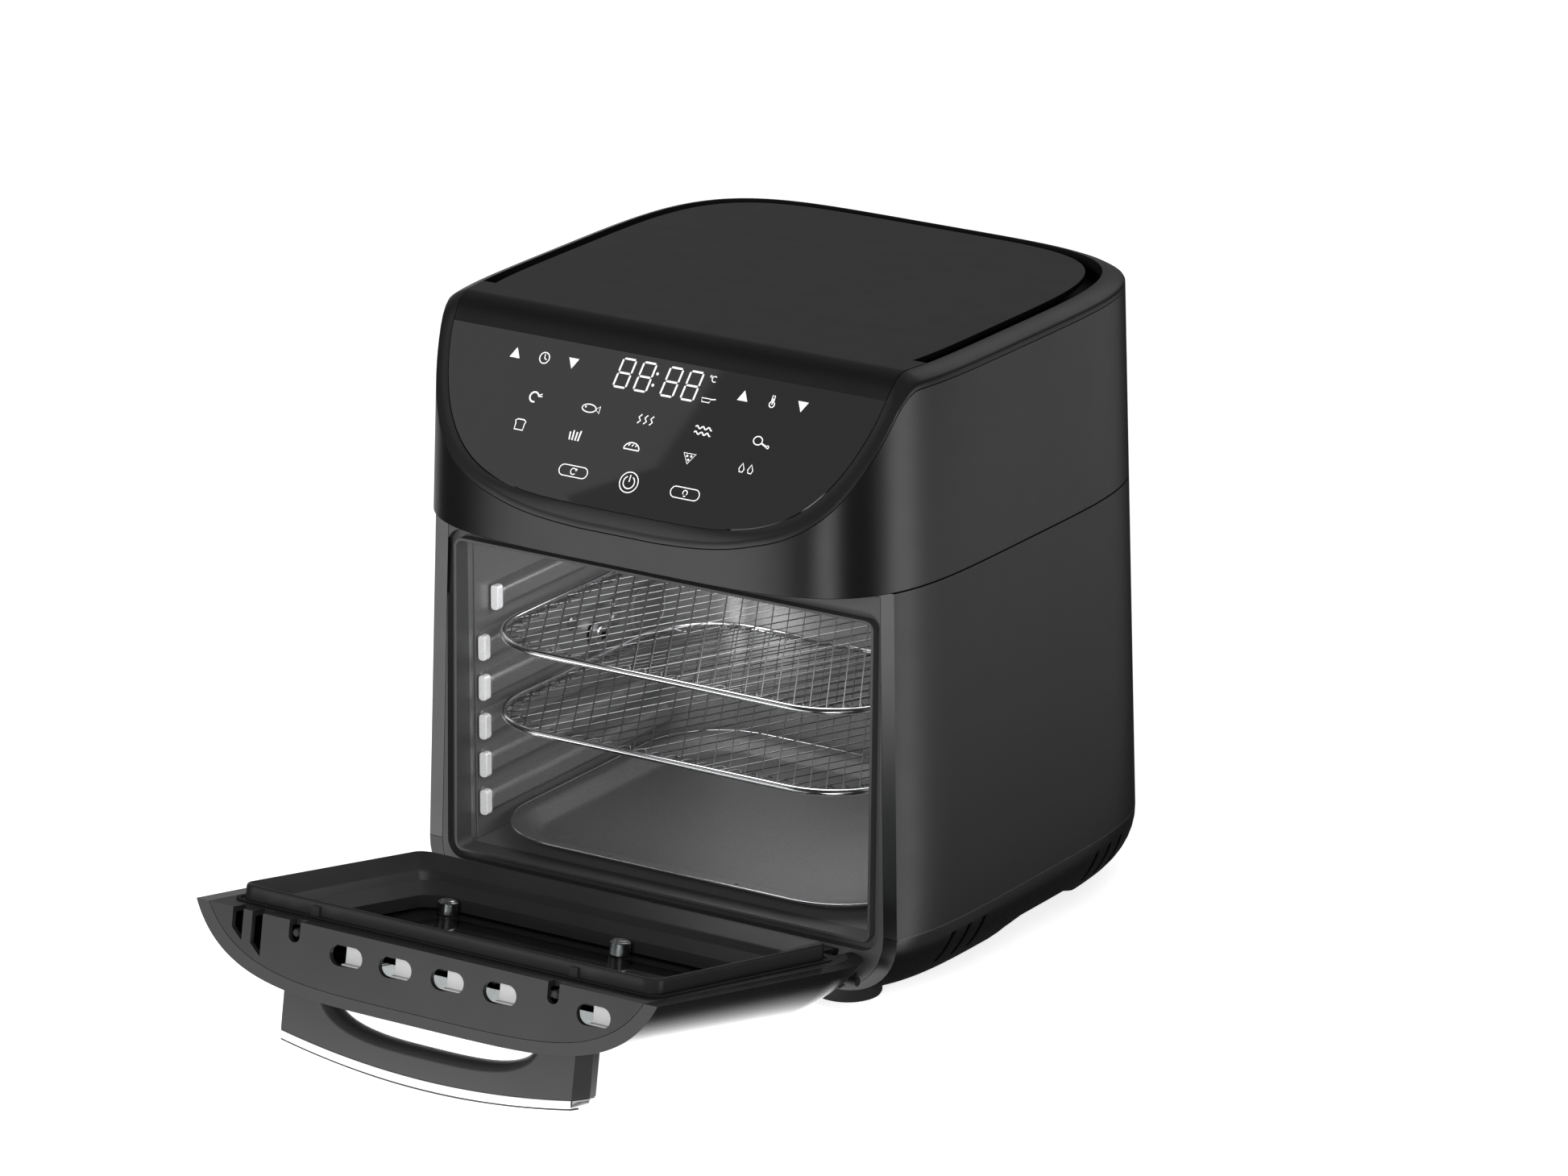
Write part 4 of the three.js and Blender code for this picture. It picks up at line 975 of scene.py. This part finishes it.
def door_core():
    """The space that the door's shell leaves for its liner."""
    return clip(door_loft(ROOM_LEVELS + [DOOR_TOP_Z], DOOR_SKIN + GAP), flange_slab(-80, DOOR_BACK),
                box((-160, 160), (-200, -90), (16.4, 230)))


def end_openings():
    """Oblong vents, catch notches and two slanted slots through the door's upper end."""
    tools = [prism(rounded_rect(x - 10, -133.2, x + 10, -122.4, 5.3), "z", 210, 230) for x in VENT_X]
    tools += [prism(rounded_rect(x - 3.4, -126.6, x + 3.4, -108, 3.3), "z", 214, 230) for x in CATCH_X]
    for x0, x1, y in ((-116.5, -110, -132), (-104.5, -98, -138)):
        tools.append(prism([(x0, y + 6), (x1, y), (x1, -110), (x0, -110)], "z", 210, 230))
    return tools


def hinge_bosses():
    """Blocks on both sides of each knuckle that hold the ends of the pin."""
    bosses = []
    for x in (-HINGE_X - 10, -HINGE_X + 10, HINGE_X - 10, HINGE_X + 10):
        block = box((x - 4.5, x + 4.5), (HINGE_Y - 4, flange_y(HINGE_Z) + DOOR_BACK - 1),
                    (HINGE_Z - 2, HINGE_Z + 6))
        bosses.append(clip(unite(block, hinge_rod(x, 4.5, 6.5)), door_core()))
    return bosses


def catch_fins():
    """Small wedges on the rim that guide the catches."""
    top = RIM_SPAN[1]
    fins = []
    for x in CATCH_X:
        fins.append(loft([[(x - w, y, top - 0.6), (x + w, y, top - 0.6),
                           (x + w * 0.8, y, top + rise), (x - w * 0.8, y, top + rise)]
                          for y, w, rise in ((-119, 3.6, 2.3), (-110.4, 2.6, 1.1))]))
    return fins


def inner_frame():
    plate = clip(door_core(), flange_slab(DOOR_BACK - 3, DOOR_BACK + 1))
    end_plate = clip(door_core(), box((-160, 160), (-170, -100), (DOOR_TOP_Z - 3, DOOR_TOP_Z + 1)))
    section = ((0, 8, -3), (0.1, 8, 5), (0.35, 7.8, 6.2), (0.9, 7.5, 6.8), (1.7, 7.2, 6.8), (2.5, 7, 6.2),
               (12.5, 9, 1.0), (14, 9.5, -0.2), (21, 12, -9), (21.5, 12, -10), (21.5, 12, -15.6),
               (24, 13, -15.6), (24, 13, -9), (16, 10, -3))
    funnel = ring([rim_loop(*step) for step in section])
    opening = prism(rounded_rect(-RIM_HALF + 15, RIM_SPAN[0] + 15, RIM_HALF - 15, RIM_SPAN[1] - 15, 9), "y",
                    -126, -100)
    body = unite(cut(plate, opening), end_plate, funnel, *hinge_bosses(), *catch_fins())
    liner_part = cut(body, *end_openings(), *hinge_tools())
    piece(liner_part, "door_liner", "door", DOOR_INSIDE, ["door_inner_frame"], bevel=0.5)
    second_finish(liner_part, DOOR_END, DOOR_AHEAD)
    for side, x in zip("lr", CATCH_X):
        pin = lathe([(0, 2.2), (4.6, 2.2), (5.2, 1.6)], (x, -122, 214), (x, -122, 240), 20)
        piece(pin, "catch_pin_" + side, "door", DOOR_INSIDE, slot="door_inner_frame")


def vent_plates():
    """Pale channel behind the five oblong vents, its paleness painted light for the brightness seen through
    them, and the round holes of the hinge side.
    """
    plates = []
    for x in VENT_X:
        plates.append(box((x - 4.5, x + 9.7), (-133, -122.6), (212.6, 213.6)))
        plates.append(box((x - 4.5, x + 9.7), (-133.6, -132.6), (212.6, 217)))
    piece(joined(plates), "vent_light_channel", "door", VENT_LIGHT, slot="door_inner_frame")
    wall_z = RIM_SPAN[0] + 21.5
    holes = [rod((x, -128.6, wall_z - 0.2), (x, -128.6, wall_z + 0.3), 3.6) for x in spread(-10, 69.5, 6)]
    piece(joined(holes), "hinge_side_vents", "door", FRAME, slot="door_inner_frame")


def gasket():
    section = ((129.8, 38.2, 206, 9, -1.3), (127.5, 40.4, 203.8, 8, -1.3), (127.5, 40.4, 203.8, 8, -0.9),
               (128.4, 39.5, 204.8, 8.5, -0.5), (129.8, 38.2, 206, 9, -0.9))
    lip = ring([depth_loop(*step) for step in section])
    piece(lip, "door_lip", "door", RUBBER, ["door_gasket"], crease=50)


def inner_glass():
    glass = prism(rounded_rect(-104, 63, 104, 182, 10), "y", -136.6, -133.4)
    piece(glass, "inner_pane", "door", GLASS, ["door_inner_glass"], bevel=0.3)
    border = cut(prism(rounded_rect(-103.5, 63.5, 103.5, 181.5, 9.5), "y", -133.39, -133.3),
                 prism(rounded_rect(-86, 79, 86, 168, 14), "y", -140, -130))
    piece(border, "pane_border", "door", BORDER, slot="door_inner_glass")


def glass_posts():
    profile = [(0, 5.5), (6.3, 5.5), (6.9, 5.1), (7.0, 4.2), (7.3, 4.2), (7.8, 3.6)]
    for name, x in (("left", -86.5), ("right", 20.8)):
        slot = box((x - 3, x + 3), (-126.3, -120), (72.5, 73.5))
        post = cut(lathe(profile, (x, -133.1, 73), (x, 0, 73), 32), slot)
        piece(post, "stand_off_" + name, "door", STEEL, ["glass_post_" + name], "glass_post", 0.15)


def hinges():
    for name, x in (("left", -HINGE_X), ("right", HINGE_X)):
        pin = lathe([(0, 2.2), (0.4, 2.5), (26.6, 2.5), (27, 2.2)], (x - 13.5, HINGE_Y, HINGE_Z),
                    (200, HINGE_Y, HINGE_Z), 24)
        piece(pin, "pivot_" + name, "door", DARK, ["hinge_pin_" + name], "hinge_pin")
        bar = box((x - 3, x + 3), (HINGE_Y, flange_y(HINGE_Z) - GAP), (HINGE_Z - 5, HINGE_Z + 5))
        arm = cut(unite(bar, hinge_rod(x, 3, 5.4)), hinge_rod(x, 4, 2.9))
        piece(arm, "knuckle_" + name, "oven", DARK, ["hinge_bracket_" + name], "hinge_bracket", 0.3)


def bar_line(centre, drop):
    """Front edge of the bar seen from above: a shallow bow."""
    return [(x, centre + drop * (x / HANDLE_HALF) ** 2) for x in spread(-HANDLE_HALF, HANDLE_HALF, 41)]


def bar_corners(grow=0):
    """The bar seen from the front, with its two upper corners cut off."""
    low, high = HANDLE_Z
    half = HANDLE_HALF + grow
    dx, dz = BAR_CORNER
    outline = [(-half, low - 1), (half, low - 1), (half, high - dz), (half - dx, high + grow),
               (dx - half, high + grow), (-half, high - dz)]
    return prism(outline, "y", -200, -130)


def grip_tool():
    """The finger opening, flared toward both faces of the bar."""
    middle = sum(HANDLE_Z) / 2
    half = (HANDLE_Z[1] - HANDLE_Z[0]) / 2
    loops = []
    for step in (-1.3, -1, -0.94, -0.83, -0.66, -0.44, 0, 0.44, 0.66, 0.83, 0.94, 1, 1.3):
        flare = GRIP_FLARE * (1 - math.sqrt(1 - min(1.0, abs(step)) ** 2))
        width = 62.5 + flare
        depth = 17.5 + flare
        low = []
        for i in range(65):
            x = -width * math.cos(math.pi * i / 64)
            low.append((x, -150 - depth * max(0.0, 1 - abs(x / width) ** 3.2) ** 0.45))
        loops.append([(x, y, middle + half * step) for x, y in [(width, -130), (-width, -130), *low]])
    return loft(loops)


def handle():
    shape = bar_line(BAR_FRONT_Y, BAR_BOW) + [(HANDLE_HALF, -140), (-HANDLE_HALF, -140)]
    bar = clip(prism(shape, "z", *HANDLE_Z), bar_corners())
    bar = cut(bar, grip_tool(), door_loft([195, 222], -GAP))
    piece(bar, "handle_bar", "door", HANDLE, ["door_handle"], bevel=0.7)


def handle_strip():
    """Polished strip along the bar's front, with the thin dark lip above it."""
    bottom, top = HANDLE_Z
    back = bar_line(BAR_FRONT_Y - 0.1, BAR_BOW)
    low = bar_line(BAR_FRONT_Y - 2.6, BAR_BOW + 0.4)
    high = bar_line(BAR_FRONT_Y - 4.9, BAR_BOW + 0.4)
    strip = loft([[(x, y, bottom), (x, y_low, bottom), (x, y_high, top), (x, y, top)]
                  for (x, y), (_, y_low), (_, y_high) in zip(back, low, high)])
    piece(clip(strip, bar_corners()), "handle_strip", "door", STRIP, ["handle_trim"], bevel=0.5, segments=2)
    lip = loft([[(x, y + dy, top + dz) for dy, dz in ((-0.8, -4), (0.2, -4), (0.2, -0.3), (-0.8, -0.3))]
                for x, y in high])
    piece(clip(lip, bar_corners(-0.3)), "strip_lip", "door", HANDLE, slot="handle_trim")


# ---------------------------------------------------------------- panel print
class Print:
    """Flat white symbols a hair above the touch panel, drawn in its own plane round a movable centre."""

    def __init__(self):
        rise = math.hypot(1, PANEL_SLOPE)
        self.up = Vector((0, 1 / rise, PANEL_SLOPE / rise))
        out = Vector((0, -PANEL_SLOPE / rise, 1 / rise))
        self.origin = Vector((0, PANEL_Y, PANEL_Z)) + out * 0.05
        self.points = []
        self.faces = []

    def move_to(self, x, z, right=0.0, up=0.0):
        """Puts the centre at an x and a height, then shifts it within the plane."""
        self.centre = Vector((x + right, (z - PANEL_Z) / self.up.z + up))

    def fill(self, outline):
        start = len(self.points)
        for point in outline:
            x, v = self.centre + Vector(point)
            self.points.append(self.origin + Vector((x, 0, 0)) + self.up * v)
        self.faces.append(tuple(range(start, len(self.points))))

    def stroke(self, path, width=0.55, closed=False):
        path = [Vector(p) for p in path]
        count = len(path)
        sides = []
        for i, p in enumerate(path):
            before = path[i - 1] if i or closed else p
            after = path[(i + 1) % count] if i < count - 1 or closed else p
            t = (after - before).normalized()
            n = Vector((-t.y, t.x)) * width / 2
            sides.append((p + n, p - n))
        for i in range(count if closed else count - 1):
            (a, b), (c, d) = sides[i], sides[(i + 1) % count]
            self.fill([a, b, d, c])

    def arc(self, middle, radius, start=0, end=360, width=0.55, squash=1.0, steps=28):
        closed = end - start >= 360
        count = steps if closed else steps + 1
        turns = [math.radians(start + (end - start) * i / steps) for i in range(count)]
        path = [(middle[0] + radius * math.cos(q), middle[1] + squash * radius * math.sin(q)) for q in turns]
        self.stroke(path, width, closed)


def digit(p, width, height, lean=0.12):
    """Seven-segment digit with every segment lit, standing on the centre."""
    half = 0.525
    end_gap = 0.35
    segments = [((0, 1), (1, 1)), ((0, 0.5), (1, 0.5)), ((0, 0), (1, 0)),
                ((0, 0.5), (0, 1)), ((1, 0.5), (1, 1)), ((0, 0), (0, 0.5)), ((1, 0), (1, 0.5))]
    for (x0, y0), (x1, y1) in segments:
        a = Vector((x0 * width, y0 * height))
        b = Vector((x1 * width, y1 * height))
        way = (b - a).normalized()
        n = Vector((-way.y, way.x)) * half
        a, b = a + way * end_gap, b - way * end_gap
        shape = [a, a + way * half + n, b - way * half + n, b, b - way * half - n, a + way * half - n]
        p.fill([(q.x + lean * q.y, q.y) for q in shape])


def pictograms(p):
    """Small line drawings of foods."""
    def shrimp():
        p.arc((0, 0), 2.6, 20, 290, 0.9)
        p.stroke([(2.2, 1.1), (4.4, 2.2)])
        p.stroke([(2.4, 0.6), (4.8, 0.9)])

    def fish():
        p.arc((0, 0), 4.2, width=0.6, squash=0.5)
        p.stroke([(4.0, 0), (6.4, 1.9), (6.4, -1.9)], 0.6, True)
        p.arc((-2.2, 0.5), 0.3, width=0.5, steps=8)

    def flames():
        for dx in (-3.6, 0, 3.6):
            p.stroke([(dx - 0.8, -2.4), (dx + 0.7, -0.9), (dx - 0.7, 0.8), (dx + 0.8, 2.4)], 0.7)

    def rashers():
        for dy in (-1.5, 1.5):
            p.stroke([(-5 + i * 0.5, dy + 0.7 * math.sin(i * 0.9)) for i in range(21)], 0.75)

    def drumstick():
        p.arc((-1.6, 0.4), 2.6, width=0.6, squash=0.85)
        p.stroke([(0.8, -0.6), (4.2, -2.0)], 0.9)
        p.arc((4.9, -2.0), 0.7, width=0.5, steps=12)

    def slice_of_bread():
        p.stroke([(-2.6, -2.6), (-2.6, 0.8), (-3.2, 2.0), (-1.8, 2.9), (1.8, 2.9), (3.2, 2.0), (2.6, 0.8),
                  (2.6, -2.6)], 0.6, True)

    def sticks():
        for dx, top in ((-2.6, 1.6), (-0.9, 2.6), (0.9, 2.0), (2.6, 2.9)):
            p.stroke([(dx, -2.6), (dx * 1.2, top)], 0.85)

    def loaf():
        p.arc((0, -1.6), 4.6, 0, 180, 0.6, 0.8)
        p.stroke([(-4.6, -1.6), (4.6, -1.6)], 0.6)
        for dx in (-1.8, 0.4, 2.4):
            p.stroke([(dx - 0.5, 0.2), (dx + 0.4, 1.3)])

    def wedge():
        p.stroke([(-3.6, 2.2), (3.6, 2.2), (0, -3.2)], 0.6, True)
        for spot in ((-1.2, 0.8), (1.2, 0.9), (0, -1.1)):
            p.arc(spot, 0.45, width=0.45, steps=10)

    def drops():
        for dx in (-2.6, 2.6):
            p.stroke([(dx, 2.6), (dx + 1.5, -0.4), (dx + 0.9, -2.0), (dx - 0.9, -2.0), (dx - 1.5, -0.4)],
                     closed=True)

    for draw, x, z in ((shrimp, -70, 294.6), (fish, -36, 294.3), (flames, -1.3, 294), (rashers, 33.5, 294),
                       (drumstick, 68, 294), (slice_of_bread, -73.5, 281.3), (sticks, -39.5, 281.3),
                       (loaf, -4.5, 281.3), (wedge, 30, 281.3), (drops, 64.5, 281.3)):
        p.move_to(x, z)
        draw()


def upper_row(p, z):
    """Arrows, clock, thermometer, four digits with their colon, the degree sign and a pan."""
    for x, sign in ((-88.7, 1), (-53.5, -1), (50.5, 1), (85.5, -1)):
        p.move_to(x, z)
        p.fill([(-3.1, -2.7 * sign), (3.1, -2.7 * sign), (0, 2.9 * sign)])
    p.move_to(-71, z)
    p.arc((0, 0), 2.9, width=0.6)
    p.stroke([(0, 2), (0, 0), (1.5, -0.9)])
    p.move_to(68, z)
    p.arc((0, -1.7), 1.5, 110, 430, 0.6)
    p.stroke([(-0.7, -0.5), (-0.7, 3), (0.7, 3), (0.7, -0.5)], 0.5)
    p.stroke([(0, -1.8), (0, 1.4)], 0.6)
    display_x = -1.3
    for dx in (-25, -12.6, 3.6, 16):
        p.move_to(display_x, z, dx, -7.6)
        digit(p, 7.6, 15.2)
    p.move_to(display_x, z)
    for dy in (-3.4, 2.8):
        p.arc((-1.6 + 0.12 * dy, dy), 0.45, width=0.7, steps=12)
    p.move_to(display_x, z, 31.5, 5.5)
    p.arc((-1.4, 1.2), 0.5, width=0.35, steps=12)
    p.arc((1, 0), 1.5, 50, 310, 0.5)
    p.move_to(display_x, z, 31.5, -5.5)
    p.stroke([(-3.2, 0.6), (-2.6, -1.4), (1.8, -1.4), (2.4, 0.6)], 0.5, True)
    p.stroke([(2.4, 0.4), (5.2, 0.9)], 0.6)


def lower_row(p, z):
    """The power sign between two framed signs, a turning arrow and a lamp."""
    p.move_to(0, z)
    p.arc((0, 0), 5.4, steps=48)
    p.arc((0, 0), 3.3, 120, 420, 0.6)
    p.stroke([(0, 0.2), (0, 4)], 0.6)
    for x in (-34, 34):
        p.move_to(x, z)
        p.stroke(rounded_rect(-8.6, -2.9, 8.6, 2.9, 2.85), 0.5, True)
    p.move_to(-34, z)
    p.arc((0, 0), 1.6, 40, 320, 0.5)
    p.fill([(0.6, 1.7), (2.4, 1.5), (1.5, 0.1)])
    p.move_to(34, z)
    p.arc((0, 0.3), 1.3, -50, 230, 0.5)
    p.stroke([(-0.6, -1.5), (0.6, -1.5)], 0.6)


def panel_print():
    p = Print()
    upper_row(p, 312.4)
    pictograms(p)
    lower_row(p, 265.7)
    piece(solid(p.points, p.faces), "panel_symbols", "oven", PRINT, slot="control_glass")


# ---------------------------------------------------------------- kept CAD pieces
def dress_frame_nodes():
    """Finishes for the pieces that are shown as the CAD model made them."""
    finishes = {"heating_element": COIL, "element_guard": CHROME, "fan_shroud": ALUMINIUM,
                "convection_fan": ALUMINIUM, "motor_bracket": STEEL, "fan_motor": STEEL,
                "lamp_housing": STEEL, "lamp_bulb": LENS, "rotisserie_motor": STEEL, "spit_support": STEEL,
                "control_board": BOARD, "power_board": BOARD, "handle_screw_left": STEEL,
                "handle_screw_right": STEEL}
    for name, material in finishes.items():
        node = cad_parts[name]
        node.data.materials.clear()
        node.data.materials.append(material)


# ---------------------------------------------------------------- studio, in metres
CAMERA_AT = (2.2341, -3.35193, 1.5275)
CAMERA_TARGET = (0.0005, 0.08537, 0.172)
CAMERA_LENS = 189.8


def look_at(obj, place, target):
    obj.location = place
    obj.rotation_euler = (Vector(target) - Vector(place)).to_track_quat("-Z", "Y").to_euler()


def softbox(name, place, target, width, height, power):
    light = bpy.data.lights.new(name, "AREA")
    light.shape = "RECTANGLE"
    light.size = width
    light.size_y = height
    light.energy = power
    obj = linked(name, light)
    look_at(obj, place, target)
    return obj


# Soft cards round the oven. Each has its direction, the degrees within which it is at full strength, the
# degrees at which it ends, its strength and sometimes the normal of a straight edge.
CARDS = (
    ((-0.38, -0.82, -0.42), 6, 32, 2.15),
    ((0.46, -0.83, -0.31), 5, 13, 4.5),
    ((-0.52, -0.85, -0.03), 8, 16, 1.0),
    ((0.91, 0.28, -0.28), 5, 18, 3.0),
    ((-0.52, 0.62, 0.59), 28, 54, 0.16),
    ((0.02, 0.80, 0.60), 8, 22, 0.7),
    ((0.60, 0.80, 0.05), 3, 8, 1.5),
    ((0.98, -0.08, -0.16), 3, 8, 0.9),
    ((0.10, 0.30, 0.95), 6, 20, 0.25),
    ((0.66, -0.70, 0.27), 5, 18, 0.3),
    ((-0.75, 0.62, -0.20), 8, 28, 0.5),
    ((-0.52, -0.64, 0.57), 5, 10, 0.52),
    ((-0.54, -0.62, 0.57), 8, 14, 0.52, (0.77870, -0.62514, 0.05315)),
)
ROOM_LEVEL = 0.032


class Surroundings(Tree):
    """The studio round the oven: a dark room with soft bright cards, set by their direction."""

    def __init__(self, base):
        world = bpy.data.worlds.new("studio")
        super().__init__(world)
        bpy.context.scene.world = world
        self.ray = self.node("ShaderNodeTexCoord").outputs["Generated"]
        self.background = self.tree.nodes["Background"]
        self.background.inputs["Color"].default_value = (1, 1, 1, 1)
        self.total = self.node("ShaderNodeValue").outputs[0]
        self.total.default_value = base

    def math(self, operation, a, b):
        return self.node("ShaderNodeMath", {0: a, 1: b}, operation=operation).outputs[0]

    def facing(self, direction, start, end, height=1.0):
        """Rises smoothly from 0 to height as the ray's share along direction goes from start to end."""
        dot = self.node("ShaderNodeVectorMath", {0: self.ray}, operation="DOT_PRODUCT")
        dot.inputs[1].default_value = Vector(direction).normalized()
        limits = {"From Min": start, "From Max": end, "To Max": height}
        return self.node("ShaderNodeMapRange", {"Value": dot.outputs["Value"]},
                         interpolation_type="SMOOTHSTEP", **limits).outputs["Result"]

    def card(self, direction, inner, outer, strength, edge=None):
        """Round soft card; with an edge, only the side that its normal points away from is lit."""
        level = self.facing(direction, math.cos(math.radians(outer)), math.cos(math.radians(inner)), strength)
        if edge:
            level = self.math("MULTIPLY", level, self.facing(edge, 0.0055, 0.0045))
        self.total = self.math("ADD", self.total, level)

    def finish(self):
        self.tree.links.new(self.total, self.background.inputs["Strength"])


def sheet(name, corners, z, material):
    """Flat sheet of the studio."""
    mesh = bpy.data.meshes.new(name)
    mesh.from_pydata([(x, y, z) for x, y in corners], [], [(0, 1, 2, 3)])
    mesh.materials.append(material)
    return linked(name, mesh)


def reflector(name, corners, span, levels):
    """A bright sheet lying on the floor, seen only in reflections; its glow changes along X."""
    m = Finish(name, Base_Color=(0, 0, 0, 1), Roughness=1.0, Specular_IOR_Level=0,
               Emission_Color=(1, 1, 1, 1))
    along = m.node("ShaderNodeSeparateXYZ", {"Vector": m.place}).outputs["X"]
    m.set("Emission Strength", m.range(along, *levels, *span))
    obj = sheet(name, corners, 0.0002, m.material)
    obj.visible_camera = False
    obj.visible_diffuse = False
    obj.visible_shadow = False
    obj.visible_transmission = False


def camera():
    data = bpy.data.cameras.new("camera")
    data.sensor_width = 36
    data.lens = CAMERA_LENS
    data.clip_end = 60
    obj = linked("camera", data)
    look_at(obj, CAMERA_AT, CAMERA_TARGET)
    bpy.context.scene.camera = obj


def floor():
    material = moulded("studio_floor", (0.86, 0.86, 0.86), 0.7, 0.0)
    shader = material.node_tree.nodes["Principled BSDF"]
    shader.inputs["Emission Color"].default_value = (1, 1, 1, 1)
    shader.inputs["Emission Strength"].default_value = 0.8
    obj = sheet("floor", [(-14, -14), (14, -14), (14, 14), (-14, 14)], -0.0004, material)
    obj.visible_glossy = False


def lights():
    target = (0, 0.085, 0.16)
    front = softbox("front", (0.9, -2.9, 1.1), target, 1.4, 1.4, 110)
    overhead = softbox("overhead", (0, 0.19, 2.6), target, 2.2, 2.2, 15)
    softbox("cavity_light", (0, 0.07, 0.215), (0, 0.07, 0), 0.15, 0.15, 0.25)
    wall = softbox("wall_light", (0.118, 0.04, 0.14), (-0.12, 0.04, 0.14), 0.14, 0.12, 0.5)
    lamp = softbox("oven_lamp", (-0.108, 0.145, 0.125), (0.4, 0.9, 0.125), 0.02, 0.12, 0.035)
    for light in (front, overhead, wall):
        light.visible_glossy = False
    lamp.visible_camera = False


def studio():
    camera()
    floor()
    reflector("under_door", [(-0.17, -0.31), (0.15, -0.31), (0.15, -0.036), (-0.17, -0.036)],
              (0.095, 0.14), (3.0, 0))
    reflector("beside", [(0.19, -0.02), (1.3, 0.85), (1.1, 2.6), (0.19, 1.7)], (0.20, 0.75), (0.21, 0.76))
    room = Surroundings(ROOM_LEVEL)
    for card in CARDS:
        room.card(*card)
    room.finish()
    lights()
    bpy.context.scene.view_settings.view_transform = "Standard"


for build in (base_pan, seam_highlight, lower_housing, upper_housing, top_bezel, top_cover, control_glass,
              vent_deck, front_frame, exhaust_louvre, feet, inlet_bush, liner, side_panels, lamp_cover,
              panel_screws, rib_end_highlights, drive_socket):
    build()
for rack_name, rack_z in zip(("upper_rack", "lower_rack"), RACK_Z):
    rack(rack_name, rack_z)
for build in (drip_tray, door_shell, outer_glass, inner_frame, vent_plates, gasket, inner_glass, glass_posts,
              hinges, handle, handle_strip, panel_print, dress_frame_nodes, studio):
    build()
